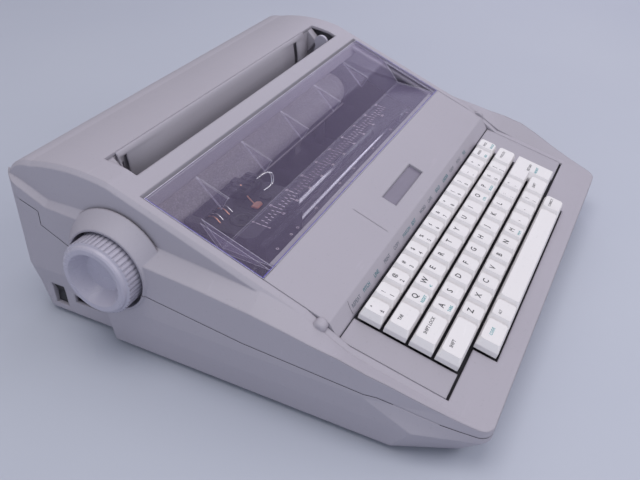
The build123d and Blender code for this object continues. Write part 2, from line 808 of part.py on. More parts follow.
def build_front_panel():
    half = opening_half - seam
    y0 = hinge_line_y
    y1 = panel_rear_y
    t = wall
    foot_z = deck_z(strip_front_y)
    slant = hypot(y0 - strip_front_y, hinge_line_z - foot_z)
    inner = (strip_front_y + t * slant / (hinge_line_z - foot_z), foot_z)
    bend = (y0 + t * 0.85, cover_z(y0 + t * 0.85) - t)
    outline = make_face(Plane.YZ.offset(-half) * Polyline(
        (strip_front_y, foot_z), (y0, hinge_line_z), (y1, cover_z(y1)), (y1, cover_z(y1) - t), bend, inner,
        close=True))
    ridge = outline.vertices().filter_by(lambda v: abs(v.Y - y0) < 0.01)
    skin = extrude(fillet(ridge, ridge_round), amount=2 * half, dir=(1, 0, 0))
    under = clear_thickness
    y2 = y1 + clear_seat
    lip = side_prism([(y1 - 3.0, cover_z(y1 - 3.0) - t), (y1 - 0.2, cover_z(y1 - 0.2) - t),
                      (y1 + clear_joint, window_front_z(y1 + clear_joint) - under),
                      (y2, window_front_z(y2) - under), (y2, window_front_z(y2) - under - 1.5),
                      (y1 - 3.0, cover_z(y1 - 3.0) - t - 2.0)], window_left_x + 4.0, window_right_x - 4.0)
    seat = sheet([(y, cover_z(y) - t) for y in (display_front_y - 3.0, display_rear_y + 3.0)],
                 display_left_x - 3.0, display_right_x + 3.0, 3.0)
    crease = sheet([(crease_front_y, cover_z(crease_front_y)), (crease_rear_y, cover_z(crease_rear_y))],
                   crease_x, crease_x + crease_width, crease_depth)
    panel = skin + lip + seat - crease
    window = box(display_left_x, display_right_x, display_front_y, display_rear_y, 0.0, far)
    panel = panel - window
    knuckle = rod(hinge_pin_radius + 0.7, half - 12.0, half, hinge_y, hinge_z)
    pin = rod(hinge_pin_radius, half - 12.0, opening_half + hinge_pin_length, hinge_y, hinge_z)
    pivot = knuckle + pin
    return panel + pivot + mirror(pivot, about=Plane.YZ)


def build_display():
    """The display module that fills the window of the panel."""
    top = display_recess
    gap = 0.15
    y0 = display_front_y + gap
    y1 = display_rear_y - gap
    glass = sheet([(y0, cover_z(y0) - top), (y1, cover_z(y1) - top)],
                  display_left_x + gap, display_right_x - gap, display_thickness)
    board_top = wall + 3.0
    board = sheet([(y, cover_z(y) - board_top) for y in (y0 - 6.0, y1 + 6.0)],
                  display_left_x - 10.0, display_right_x + 10.0, board_thickness)
    return glass + board


def sheet(path, x0, x1, thickness):
    """A bent sheet along X: its upper side follows the path, its lower side lies under it."""
    lower = [(y, z - thickness) for y, z in reversed(path)]
    return side_prism([*path, *lower], x0, x1)


def window_front_z(y):
    """The height of the clear cover's front sheet."""
    y0 = panel_rear_y + clear_joint
    share = (y - y0) / (window_low_y - y0)
    return cover_z(y0) + (window_low_z - cover_z(y0)) * share


def build_clear_cover():
    half = opening_half - seam
    y0 = panel_rear_y + clear_joint
    y1 = clear_rear_y
    t = clear_thickness
    low_path = [(y0, cover_z(y0)), (window_low_y, window_low_z), (ridge_y, ridge_z), (y1, cover_z(y1))]
    flat_path = [(y0, cover_z(y0)), (y1, cover_z(y1))]
    cover = sheet(low_path, window_left_x, window_right_x, t)
    cover = cover + sheet(flat_path, -half, window_left_x, t) + sheet(flat_path, window_right_x, half, t)
    end = [(y0, cover_z(y0) - t), (window_low_y, window_low_z - t), (ridge_y, ridge_z - t)]
    cover = cover + side_prism(end, window_left_x - t, window_left_x)
    cover = cover + side_prism(end, window_right_x, window_right_x + t)
    rim = [(y0, cover_z(y0)), (y1, cover_z(y1)), (y1, cover_z(y1) - clear_flange_depth),
           (y0, cover_z(y0) - clear_flange_depth)]
    cover = cover + side_prism(rim, half - t, half) + side_prism(rim, -half, -half + t)
    rear = ridge_y + fin_length
    fin_side = [(ridge_y, ridge_z - t), (rear, cover_z(rear) - t),
                (ridge_y + fin_rake, ridge_z - t - fin_depth)]
    for i in range(fin_count):
        x = (i - (fin_count - 1) / 2) * fin_pitch
        cover = cover + side_prism(fin_side, x - fin_width / 2, x + fin_width / 2)
    return cover


# Round parts of the paper drive

def gear(teeth, width, bore):
    """A spur gear on the Z axis with straight-sided teeth."""
    pitch_radius = gear_module * teeth / 2
    root = pitch_radius - 1.2 * gear_module
    tip = pitch_radius + gear_module
    step = 2 * pi / teeth
    half_root = step * 0.33 - gear_backlash / (2 * pitch_radius)
    half_tip = step * 0.13 - gear_backlash / (2 * pitch_radius)
    points = []
    for i in range(teeth):
        a = i * step
        for radius, offset in ((root, -half_root), (tip, -half_tip), (tip, half_tip), (root, half_root)):
            points.append((radius * cos(a + offset), radius * sin(a + offset)))
    face = make_face(Polyline(*points, close=True)) - Circle(bore)
    return extrude(face, amount=width)


def along_x(shape, x, y, z, turn=0.0):
    """Lays a shape that stands on Z along X, turned about its own axis first."""
    return Pos(x, y, z) * Plane.YZ.location * Rot(0, 0, turn) * shape


def build_platen():
    return rod(platen_radius, -platen_half, platen_half, platen_y, platen_z) \
        - rod(shaft_radius, -platen_half - 1.0, platen_half + 1.0, platen_y, platen_z)


def build_platen_shaft():
    right = plate_x + plate_thickness + 2.0
    return rod(shaft_radius, knob_outer_x + knob_dish_depth + 6.0, right, platen_y, platen_z)


def build_knob():
    length = knob_inner_x - knob_outer_x
    rim = 3.0
    profile = make_face(Plane.XZ * Polyline(
        (shaft_radius, 0.0), (shaft_radius, length - knob_dish_depth - 6.0),
        (0.0, length - knob_dish_depth - 6.0), (0.0, length - knob_dish_depth),
        (knob_dish_radius - 5.0, length - knob_dish_depth), (knob_dish_radius, length - 3.0),
        (knob_dish_radius + 2.0, length), (knob_face_radius - 1.5, length),
        (knob_face_radius, length - 1.0),
        (knob_face_radius + 0.6, length - rim), (knob_radius, length - rim - 1.0), (knob_radius, 1.0),
        (knob_radius - 1.0, 0.0), close=True))
    knob = revolve(profile, Axis.Z)
    flute = Pos(knob_radius + 0.1, 0, (length - rim) / 2 - 1.0) * Box(2 * knob_flute_depth, 1.2, length)
    knob = knob - PolarLocations(0, knob_flutes) * flute
    return Pos(knob_inner_x, platen_y, platen_z) * Rot(0, -90, 0) * knob


def gear_place():
    return -platen_half - gear_width - 3.0


def build_platen_gear():
    wheel = gear(platen_gear_teeth, gear_width, shaft_radius)
    hub = Cylinder(8.0, gear_width + 2.0) - Cylinder(shaft_radius, far)
    hole = Pos(0, 0, gear_width / 2) * Cylinder(5.0, 2 * gear_width)
    wheel = wheel - PolarLocations(gear_module * platen_gear_teeth / 2 - 11.0, 5) * hole
    wheel = wheel + Pos(0, 0, gear_width / 2 + 1.0) * hub
    return along_x(wheel, gear_place(), platen_y, platen_z)


def pinion_place():
    return polar(gear_module * (platen_gear_teeth + pinion_teeth) / 2, pinion_angle)


def build_feed_pinion():
    y, z = pinion_place()
    wheel_turn = 180.0 / pinion_teeth + 180.0 + pinion_angle * (1 + platen_gear_teeth / pinion_teeth)
    wheel = along_x(gear(pinion_teeth, gear_width, 0.5), gear_place(), y, z, wheel_turn)
    end = gear_place() + gear_width + motor_gap + motor_bore_depth - 0.5
    return wheel + rod(motor_shaft_radius, gear_place(), end, y, z)


def build_drive_motors():
    """The feed motor under the platen and the carriage motor at the right."""
    y, z = pinion_place()
    face = gear_place() + gear_width + motor_gap
    feed = rod(motor_radius, face, face + motor_length, y, z)
    foot = box(face, face + motor_length, y - 8.0, y + 8.0, chassis_floor_z + plate_thickness, z)
    bore = rod(motor_shaft_radius + running_clearance, face - 1.0, face + motor_bore_depth, y, z)
    low = chassis_floor_z + plate_thickness
    drive_y = belt_y - belt_width / 2 - 2.0
    drive_radius = belt_z - low
    drive = along_y(drive_radius, 16.0, belt_half, drive_y - 8.0, belt_z)
    pulley_radius = belt_radius - belt_thickness
    pulley = along_y(pulley_radius, belt_width, belt_half, belt_y, belt_z)
    drive_shaft = along_y(motor_shaft_radius, belt_width + 4.0, belt_half, belt_y - 3.0, belt_z)
    idler = along_y(pulley_radius, belt_width, -belt_half, belt_y, belt_z)
    post = upright(2.5, low, belt_z, -belt_half, belt_y - belt_width / 2 - 3.5)
    axle = along_y(motor_shaft_radius, belt_width + 4.0, -belt_half, belt_y - 2.5, belt_z)
    return [(feed + foot) - bore, drive + drive_shaft + pulley, idler + axle + post]


def roller_place():
    return polar(platen_radius + roller_radius + roller_gap, roller_angle)


def build_feed_rollers():
    y, z = roller_place()
    end = guide_half + roller_bracket_gap + plate_thickness + 1.0
    shaft = rod(roller_shaft_radius, -end, end, y, z)
    for i in range(roller_count):
        x = (i - (roller_count - 1) / 2) * roller_pitch
        shaft = shaft + rod(roller_radius, x - roller_length / 2, x + roller_length / 2, y, z)
    return shaft


def build_paper_guide():
    """The curved trough that leads the paper round the platen."""
    inner = platen_radius + guide_gap
    outer = inner + guide_thickness
    ring = Circle(outer) - Circle(inner)
    keep = make_face(Polyline((-40, -40), (40, -40), (40, 0), (0, 0), polar(40, 205, 0, 0), close=True))
    arc = extrude(ring & keep, amount=2 * guide_half)
    trough = along_x(arc, -guide_half, platen_y, platen_z)
    trough = trough + box(-guide_half, guide_half, platen_y + inner, platen_y + outer,
                          platen_z, chute_low - 1.0)
    y, z = roller_place()
    for i in range(roller_count):
        x = (i - (roller_count - 1) / 2) * roller_pitch
        half = roller_length / 2 + 2.0
        window = box(x - half, x + half, y - roller_radius - 1.0, y + roller_radius + 1.0,
                     z - platen_radius - roller_radius, platen_z - roller_radius)
        trough = trough - window
    low = chassis_floor_z + plate_thickness
    for x in (-guide_half + 30.0, 0.0, guide_half - 30.0):
        foot = box(x - 6.0, x + 6.0, platen_y + outer - 4.5, platen_y + outer - 3.0, low, platen_z - 4.0)
        trough = trough + foot
    return trough


def build_release_lever():
    """The paper release lever at the right-hand end of the slot."""
    x0 = lever_x - lever_width / 2
    hub = rod(lever_hub_radius, x0, x0 + lever_width, lever_y, lever_z)
    tab_y = lever_y - 4.0
    tab = rod(lever_tab_radius, x0, x0 + lever_width, tab_y, lever_z + lever_reach)
    arm = side_prism([(lever_y - 4.0, lever_z), (lever_y + 4.0, lever_z),
                      (tab_y + 5.0, lever_z + lever_reach), (tab_y - 5.0, lever_z + lever_reach)],
                     x0, x0 + lever_width)
    bore = rod(lever_pin_radius + running_clearance, x0 - 1.0, x0 + lever_width + 1.0, lever_y, lever_z)
    return hub + tab + arm - bore


# Metal frame and carriage

def build_chassis():
    t = plate_thickness
    floor = box(-plate_x, plate_x, chassis_front_y, chassis_rear_y, chassis_floor_z, chassis_floor_z + t)
    outline = [(chassis_front_y, chassis_floor_z), (chassis_rear_y, chassis_floor_z),
               (chassis_rear_y, chassis_top - 14.0), (platen_y + 14.0, chassis_top),
               (platen_y - 14.0, chassis_top), (chassis_front_y + 26.0, front_rail_z + 14.0),
               (chassis_front_y, front_rail_z + 6.0)]
    left = side_prism(outline, -plate_x - t, -plate_x)
    right = side_prism(outline, plate_x, plate_x + t)
    frame = floor + left + right
    frame = frame - rod(shaft_radius + running_clearance, -far, far, platen_y, platen_z)
    y, z = roller_place()
    inner = guide_half + roller_bracket_gap
    bracket = box(inner, inner + t, y - 5.0, y + 5.0, chassis_floor_z, z + 5.0)
    frame = frame + bracket + mirror(bracket, about=Plane.YZ)
    return frame - rod(roller_shaft_radius + running_clearance, -inner - 5.0, inner + 5.0, y, z)


def build_rails():
    main = rod(main_rail_radius, -plate_x, plate_x, main_rail_y, main_rail_z)
    front = rod(front_rail_radius, -plate_x, plate_x, front_rail_y, front_rail_z)
    return [main, front]


def build_carriage():
    x0 = carriage_x - carriage_half
    x1 = carriage_x + carriage_half
    back = wheel_y - 5.0
    top = cassette_low
    low = main_rail_z - 9.0
    outline = [(front_rail_y - 7.0, front_rail_z - 7.0), (main_rail_y - 10.0, low), (back, low),
               (back, front_rail_z),
               (main_rail_y, top), (front_rail_y - 7.0, top)]
    body = side_prism(outline, x0, x1)
    body = body - side_prism([(front_rail_y + 8.0, 50.0), (main_rail_y - 12.0, 42.0), (back + 1.0, 42.0),
                              (back + 1.0, 70.0), (front_rail_y + 8.0, 70.0)], x0 + 4.0, x1 - 4.0)
    body = body - rod(main_rail_radius + running_clearance, x0 - 1.0, x1 + 1.0, main_rail_y, main_rail_z)
    body = body - rod(front_rail_radius + running_clearance, x0 - 1.0, x1 + 1.0, front_rail_y, front_rail_z)
    motor = Pos(carriage_x, 0, wheel_z()) * Plane.XZ.location * Cylinder(wheel_motor_radius, 20.0)
    motor_y = back - 10.0
    body = body + Pos(0, motor_y, 0) * motor
    bore = Pos(carriage_x, back, wheel_z()) * Rot(90, 0, 0)
    body = body - bore * Cylinder(motor_shaft_radius + running_clearance, 2 * motor_bore_depth)
    clamp_z = belt_z + belt_radius + 0.3
    clamp = box(carriage_x - 8.0, carriage_x + 8.0, belt_y - 6.0, belt_y + 8.0, clamp_z, low + 12.0)
    return body + clamp


def wheel_z():
    return platen_z - wheel_radius + 1.0


def build_print_wheel():
    """The daisy wheel: a hub with flexible petals."""
    hub = Cylinder(9.0, 4.0)
    petal_length = wheel_radius - 8.0
    petal = Pos(8.0 + petal_length / 2, 0, 0) * Box(petal_length, 1.3, wheel_thickness)
    head = Pos(wheel_radius - 2.0, 0, 0) * Box(4.0, 2.6, wheel_thickness + 0.8)
    wheel = hub + PolarLocations(0, wheel_petals) * (petal + head)
    wheel = wheel + Pos(0, 0, 5.0) * Cylinder(motor_shaft_radius, 12.0)
    place = Pos(carriage_x, wheel_y, wheel_z()) * Rot(90, 0, 0)
    return place * wheel


def build_cassette():
    x0 = carriage_x - cassette_half
    x1 = carriage_x + cassette_half
    y0 = front_rail_y - 2.0
    y1 = main_rail_y + 6.0
    body = box(x0, x1, y0, y1, cassette_low, cassette_high)
    body = chamfer(body.edges().filter_by(Axis.Z), 5.0)
    arms = box(x0 + 2.0, x0 + 10.0, y1 - 4.0, wheel_y + 3.0, cassette_low, cassette_high - 2.0)
    arms = arms + box(x1 - 10.0, x1 - 2.0, y1 - 4.0, wheel_y + 3.0, cassette_low, cassette_high - 2.0)
    ribbon = box(x0 + 4.0, x1 - 4.0, wheel_y + 2.4, wheel_y + 2.9, cassette_low - 6.0, cassette_high - 3.0)
    knob = upright(5.0, cassette_high, cassette_high + 1.4, carriage_x + 18.0, (y0 + y1) / 2)
    return body + arms + ribbon + knob


def build_belt():
    outer = extrude(SlotOverall(2 * (belt_half + belt_radius), 2 * belt_radius), amount=belt_width)
    inner_radius = belt_radius - belt_thickness
    inner = extrude(SlotOverall(2 * (belt_half + inner_radius), 2 * inner_radius), amount=belt_width)
    loop = outer - inner
    return Pos(0, belt_y + belt_width / 2, belt_z) * Rot(90, 0, 0) * loop


# Electrics, feet and fasteners

def build_circuit_board():
    floor_top = foot_height + wall
    low = floor_top + board_stand
    top = low + board_thickness
    front = chassis_rear_y + board_gap
    middle = front + board_depth / 2
    board = box(board_left_x, board_right_x, front, front + board_depth, low, top)
    blocks = ((20.0, -9.0, 24.0, 12.0, 6.0), (56.0, 3.0, 30.0, 14.0, 5.0),
              (86.0, -11.0, 12.0, 12.0, 14.0), (108.0, 1.0, 16.0, 16.0, 9.0))
    for back, shift, width, depth, height in blocks:
        x = board_left_x + back
        y = middle + shift
        board = board + box(x, x + width, y - depth / 2, y + depth / 2, top, top + height)
    for x in (board_left_x + 6.0, board_right_x - 6.0):
        board = board + box(x - 3.0, x + 3.0, middle - 3.0, middle + 3.0, floor_top, low)
    left = transformer_x - transformer_half
    right = transformer_x + transformer_half
    core = box(left, right, middle - 16.0, middle + 16.0, floor_top, floor_top + transformer_height)
    coil = box(left + 12.0, right - 12.0, middle - 22.0, middle + 22.0,
               floor_top + 8.0, floor_top + transformer_height - 8.0)
    return [board, core + coil]


def build_feet():
    return [upright(foot_radius, 0.0, foot_height, side * foot_x, y)
            for side in (-1, 1) for y in (foot_front_y, foot_rear_y)]


def build_screws():
    screws = []
    for x, y in boss_places():
        base = foot_height + screw_head_height
        shank = upright(screw_radius - 0.1, base, boss_split + 12.0, x, y)
        head = upright(screw_head_radius, foot_height + 0.4, base, x, y)
        screws.append(shank + head)
    return screws


def build_power_switch():
    """The rocker at the rear of the left side, tilted to its off position."""
    half_y = switch_width / 2 - 0.35
    half_z = switch_height / 2 - 1.2
    outline = make_face(Plane.XZ * Polyline((-3.6, -half_z), (-1.8, 0.0), (-3.6, half_z), (2.0, half_z),
                                            (4.0, 0.0), (2.0, -half_z), close=True))
    rocker = extrude(outline, amount=half_y, both=True)
    rocker = rocker + Rot(90, 0, 0) * Cylinder(1.3, switch_width + 1.6)
    return Pos(switch_pivot_x, switch_y, switch_z) * Rot(0, -switch_angle / 2, 0) * rocker


def write_node(name, solids):
    if not isinstance(solids, list):
        solids = [solids]
    placed = [Pos(frame_shift_x, frame_shift_y, 0) * solid for piece in solids for solid in piece.solids()]
    part = placed[0] if len(placed) == 1 else Compound(children=placed)
    export_step(part, f"parts/{name}.step")


def main():
    os.makedirs("parts", exist_ok=True)
    shell = case_shell()
    nodes = {
        "upper_case": build_upper_case(shell),
        "lower_case": build_lower_case(shell),
        "keyboard_frame": build_keyboard_frame(),
        "key_plate": build_key_plate(),
        "front_panel": build_front_panel(),
        "display": build_display(),
        "clear_cover": build_clear_cover(),
        "platen": build_platen(),
        "platen_shaft": build_platen_shaft(),
        "platen_knob": build_knob(),
        "platen_gear": build_platen_gear(),
        "feed_pinion": build_feed_pinion(),
        "drive_motors": build_drive_motors(),
        "feed_rollers": build_feed_rollers(),
        "paper_guide": build_paper_guide(),
        "paper_release_lever": build_release_lever(),
        "chassis": build_chassis(),
        "guide_rails": build_rails(),
        "carriage": build_carriage(),
        "print_wheel": build_print_wheel(),
        "ribbon_cassette": build_cassette(),
        "drive_belt": build_belt(),
        "circuit_board": build_circuit_board(),
        "rubber_feet": build_feet(),
        "case_screws": build_screws(),
        "power_switch": build_power_switch(),
    }
    nodes.update(key_nodes())
    for name, solids in nodes.items():
        write_node(name, solids)


main()
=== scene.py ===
# %% [markdown]
# # An electric typewriter, dressed for a portrait
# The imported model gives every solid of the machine: the grey case, the smoked cover, the keys
# and the mechanism under them. This lesson adds what the solids leave out. We write the legends
# on the keys, print the scale on the cover, wind the ribbon, and give each plastic, rubber and
# metal its own procedural finish. Every length is in metres, in the model's own frame, so a
# piece goes exactly where the model says.

# %% Load the frame and keep its box
import math

import bmesh
import bpy
from mathutils import Matrix, Vector
from mathutils.bvhtree import BVHTree
from mathutils.kdtree import KDTree


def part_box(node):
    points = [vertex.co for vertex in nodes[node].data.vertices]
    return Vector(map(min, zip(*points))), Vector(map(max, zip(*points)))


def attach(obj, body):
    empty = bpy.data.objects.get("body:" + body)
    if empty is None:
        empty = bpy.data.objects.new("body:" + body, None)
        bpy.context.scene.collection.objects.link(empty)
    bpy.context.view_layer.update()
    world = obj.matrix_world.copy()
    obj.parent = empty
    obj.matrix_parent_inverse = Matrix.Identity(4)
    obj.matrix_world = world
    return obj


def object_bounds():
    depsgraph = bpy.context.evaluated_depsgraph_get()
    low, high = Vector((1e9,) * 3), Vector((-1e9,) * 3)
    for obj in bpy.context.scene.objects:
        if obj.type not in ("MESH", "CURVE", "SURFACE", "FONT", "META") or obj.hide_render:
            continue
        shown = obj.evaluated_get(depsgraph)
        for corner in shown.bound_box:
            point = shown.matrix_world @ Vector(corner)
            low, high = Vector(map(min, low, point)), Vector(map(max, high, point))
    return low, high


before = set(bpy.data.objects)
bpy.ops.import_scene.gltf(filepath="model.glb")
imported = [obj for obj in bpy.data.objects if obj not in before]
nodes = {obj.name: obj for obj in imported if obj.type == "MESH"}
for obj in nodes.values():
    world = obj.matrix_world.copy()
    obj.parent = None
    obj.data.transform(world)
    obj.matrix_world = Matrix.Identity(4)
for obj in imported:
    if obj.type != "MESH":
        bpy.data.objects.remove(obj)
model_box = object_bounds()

# %% [markdown]
# ## The viewpoint
# The photograph was taken from the left of the machine, a little in front of it and from above,
# with a normal lens. A camera could be turned by hand until it looks right. Here the place, the
# point it looks at and its slight roll are given instead, because they were worked out from the
# straight edges of the case and the even pitch of the keys.

# %% Camera
camera_place = Vector((-0.50505, -0.2196, 0.3934))
camera_aim = Vector((0.0537, 0.0422, -0.0326))
camera_roll = math.radians(1.88)
focal_length = 42.53

camera_data = bpy.data.cameras.new("portrait_lens")
camera_data.sensor_width = 36.0
camera_data.lens = focal_length
camera_data.clip_start = 0.01
camera = bpy.data.objects.new("portrait_camera", camera_data)
bpy.context.collection.objects.link(camera)
look = (camera_aim - camera_place).to_track_quat("-Z", "Y").to_matrix()
rolled = look @ Matrix.Rotation(camera_roll, 3, "Z")
camera.matrix_world = Matrix.Translation(camera_place) @ rolled.to_4x4()
bpy.context.scene.camera = camera
print("camera at", tuple(round(v, 3) for v in camera_place))

# %% [markdown]
# ## Arithmetic on sockets
# A procedural finish is mostly arithmetic: this noise times that mask, one minus the edge wear.
# Written as node calls it is unreadable, so a small class wraps a socket and overloads the
# operators. An expression such as `1 - mask * 0.4` then adds its own Math nodes.

# %% Signals
class Signal:
    """A socket of a material that takes part in Python arithmetic."""

    def __init__(self, finish, socket):
        self.finish = finish
        self.socket = socket

    def math(self, operation, first, second):
        settings = {"operation": operation}
        return self.finish.node("ShaderNodeMath", settings, {0: first, 1: second})

    def __add__(self, other):
        return self.math("ADD", self, other)

    def __radd__(self, other):
        return self.math("ADD", other, self)

    def __sub__(self, other):
        return self.math("SUBTRACT", self, other)

    def __rsub__(self, other):
        return self.math("SUBTRACT", other, self)

    def __mul__(self, other):
        return self.math("MULTIPLY", self, other)

    def __rmul__(self, other):
        return self.math("MULTIPLY", other, self)


print("signals add, subtract and multiply")

# %% [markdown]
# ## One class for every finish
# Each finish is a material with one Principled shader. All its other nodes come from a single
# method, which sets a node's type, settings, values and links in that order. The short methods
# after it only name the nodes that typewriter plastics and metals need most: a noise in the
# piece's own coordinates, a ramp, a blend of two colours, a bump and the edge mask.

# %% Finishes
class Finish:
    """A material with one Principled shader, whose other nodes all come from one method."""

    def __init__(self, name, colour, roughness, **constants):
        self.material = bpy.data.materials.new(name)
        self.material.use_nodes = True
        self.tree = self.material.node_tree
        self.shader = self.tree.nodes["Principled BSDF"]
        self.shader.inputs["Base Color"].default_value = (*colour, 1.0)
        self.shader.inputs["Roughness"].default_value = roughness
        self.material.diffuse_color = (*colour, 1.0)
        self.rounded = None
        for socket, value in constants.items():
            self.shader.inputs[socket.replace("_", " ")].default_value = value

    def node(self, kind, settings=None, inputs=None, output=0):
        made = self.tree.nodes.new(kind)
        for key, value in (settings or {}).items():
            if key == "stops":
                ramp = made.color_ramp.elements
                while len(ramp) < len(value):
                    ramp.new(1.0)
                for element, (place, shade) in zip(ramp, value):
                    element.position = place
                    element.color = (shade, shade, shade, 1.0)
            else:
                setattr(made, key, value)
        for key, value in (inputs or {}).items():
            socket = made.inputs[key]
            if isinstance(value, Signal):
                self.tree.links.new(value.socket, socket)
            elif isinstance(value, tuple) and socket.type == "RGBA":
                socket.default_value = (*value, 1.0)
            else:
                socket.default_value = value
        return Signal(self, made.outputs[output])

    def noise(self, scale, detail=2.0, stretch=None):
        where = self.node("ShaderNodeTexCoord", output="Object")
        if stretch:
            settings = {"operation": "MULTIPLY"}
            where = self.node("ShaderNodeVectorMath", settings, {0: where, 1: stretch})
        inputs = {"Vector": where, "Scale": scale, "Detail": detail}
        return self.node("ShaderNodeTexNoise", {}, inputs)

    def ramp(self, signal, *stops):
        return self.node("ShaderNodeValToRGB", {"stops": stops}, {0: signal})

    def blend(self, factor, first, second):
        inputs = {0: factor, 6: first, 7: second}
        return self.node("ShaderNodeMix", {"data_type": "RGBA"}, inputs, output=2)

    def feed(self, socket, signal):
        self.tree.links.new(signal.socket, self.shader.inputs[socket])

    def bump(self, height, strength, distance):
        inputs = {"Height": height, "Strength": strength, "Distance": distance}
        if self.rounded:
            inputs["Normal"] = self.rounded
        self.feed("Normal", self.node("ShaderNodeBump", {}, inputs))

    def edges(self, radius):
        """Rounds sharp edges in the shading and gives a mask that is bright along them."""
        self.rounded = self.node("ShaderNodeBevel", {"samples": 4}, {"Radius": radius})
        flat = self.node("ShaderNodeNewGeometry", output="Normal")
        along = self.node("ShaderNodeVectorMath", {"operation": "DOT_PRODUCT"},
                          {0: self.rounded, 1: flat}, output="Value")
        return self.ramp(1 - along, (0.02, 0.0), (0.22, 1.0))


def tint(colour, share):
    return tuple(min(1.0, channel * share) for channel in colour)


print("a tint of 0.5 on white:", tint((1.0, 1.0, 1.0), 0.5))

# %% [markdown]
# ## Moulded plastic
# The case halves and the panel come out of spark-eroded moulds, which leave a very fine grain
# that scatters the light. An image of such grain would repeat and blur, so a noise of half a
# millimetre drives the bump, and a second one, as wide as a hand, shifts the colour a little,
# as handling and sunlight do. A third noise gives the dull scuffs of use. Moulded edges are
# never knife sharp: the Bevel node rounds them in the shading, and the same node tells where
# they are, so that they are drawn a little paler: partly rubbing, partly a painted highlight.

# %% Recipe for moulded plastic
def moulded(name, colour, roughness=0.5, grain=1900.0, depth=0.00006, edge=0.0018, rubbed_and_highlight=0.22):
    """Grain is the noise scale of the texture, depth its height and edge the rounding."""
    finish = Finish(name, colour, roughness, Specular_IOR_Level=0.42)
    hand = finish.noise(scale=9.0, detail=3.0)
    scuffs = finish.noise(scale=70.0, detail=6.0, stretch=(1.0, 0.35, 1.0))
    scuffs = finish.ramp(scuffs, (0.55, 0.0), (0.78, 1.0))
    hairlines = finish.noise(scale=34.0, detail=8.0, stretch=(1.0, 9.0, 4.0))
    hairlines = finish.ramp(hairlines, (0.66, 0.0), (0.72, 1.0))
    specks = finish.ramp(finish.noise(scale=520.0, detail=3.0), (0.3, 1.0), (0.36, 0.0))
    plain = finish.blend(hand, tint(colour, 0.95), tint(colour, 1.05))
    # The edges are painted paler: partly the rubbing of use, partly a painted highlight where
    # they catch the light.
    edge_wear_and_highlight = finish.edges(edge) * rubbed_and_highlight + hairlines * 0.12
    worn = finish.blend(edge_wear_and_highlight, plain, tint(colour, 1.3))
    finish.feed("Base Color", finish.blend(specks * 0.16, worn, tint(colour, 0.6)))
    finish.feed("Roughness", roughness + (hand - 0.5) * 0.12 + scuffs * 0.1)
    finish.bump(finish.noise(scale=grain), 0.35, depth)
    return finish


case_grey = moulded("moulded_case_grey", (0.40, 0.376, 0.425))
# Painted shade: the deck grey is the case grey a few percent darker, for the shade on the
# keyboard deck.
shaded_deck_grey = moulded("moulded_deck_grey", (0.385, 0.362, 0.408))
print("large mouldings:", case_grey.material.name, shaded_deck_grey.material.name)

# %% [markdown]
# ## Plastics of the small parts
# Keys, knob, gears and cassette are moulded as well, but they are smoother, and their edges are
# much tighter than those of the case. The same recipe makes them, with a finer grain and a
# smaller rounding. The keys are the glossiest, because fingers polish them.

# %% Small plastics
inner_black = moulded("inner_black_plastic", (0.024, 0.022, 0.028), 0.6, 900.0, edge=0.0004)
carriage_black = moulded("carriage_black_plastic", (0.016, 0.016, 0.018), 0.42, 700.0,
                         edge=0.0004)
cassette_black = moulded("cassette_black_plastic", (0.024, 0.023, 0.028), 0.38, 1500.0,
                         edge=0.0004)
switch_black = moulded("switch_black_plastic", (0.02, 0.02, 0.022), 0.3, 1500.0, edge=0.0004)
knob_grey = moulded("knob_bluish_grey", (0.44, 0.42, 0.50), 0.27, 2600.0, 0.00002, edge=0.0012)
gear_white = moulded("gear_acetal_white", (0.62, 0.61, 0.57), 0.4, 1200.0, edge=0.0003)
key_white = moulded("key_cream_white", (0.77, 0.745, 0.75), 0.36, 3000.0, 0.00002,
                    edge=0.0006, rubbed_and_highlight=0.15)
guide_grey = moulded("paper_guide_grey", (0.20, 0.185, 0.205), 0.62, 700.0, edge=0.0004)
print("materials with the plastics:", len(bpy.data.materials))

# %% [markdown]
# ## The smoked cover
# The cover over the type wheel is tinted polycarbonate: thin, glossy and violet, so that the
# mechanism shows through it. Refraction through a two-millimetre sheet hardly moves what is
# behind it, so an alpha below one does the job and also survives the export. Light that has
# travelled inside such a sheet comes out at its edges, so every rib and rim of the cover is
# drawn with a painted highlight: the edge mask makes the sheet pale and nearly opaque there.
# Faces that are seen edge on take more tint, from Layer Weight, and fine dust roughens the sheet
# in places.

# %% Smoked clear plastic
def smoked(name, colour, rim_colour, edge_highlight_colour, thin, thick):
    """Thin and thick are the alpha of the sheet seen face on and seen along its surface."""
    finish = Finish(name, colour, 0.1, Specular_IOR_Level=0.6)
    facing = finish.node("ShaderNodeLayerWeight", {}, {"Blend": 0.3}, output="Facing")
    dust = finish.ramp(finish.noise(scale=160.0, detail=6.0), (0.5, 0.0), (0.8, 1.0))
    # Painted highlight: the edge mask makes every edge of the sheet nearly opaque and pale.
    edge = finish.edges(0.0009)
    finish.feed("Alpha", thin + facing * (thick - thin) + dust * 0.04 + edge * 0.8)
    finish.feed("Roughness", 0.12 + dust * 0.25)
    sheet_colour = finish.blend(facing, colour, rim_colour)
    finish.feed("Base Color", finish.blend(edge, sheet_colour, edge_highlight_colour))
    return finish


smoked_clear = smoked("smoked_clear_cover", (0.34, 0.28, 0.43), (0.36, 0.30, 0.56),
                      (0.92, 0.90, 1.0), 0.06, 0.40)
print("cover finish:", smoked_clear.material.name)

# %% [markdown]
# ## Rubber
# The platen is a tube of ground rubber. Grinding leaves a dull surface with a fine speckle of
# the rubber's filler, so one noise drives colour, roughness and bump together. The small
# rollers, the belt and the feet are blacker and show the speckle more.

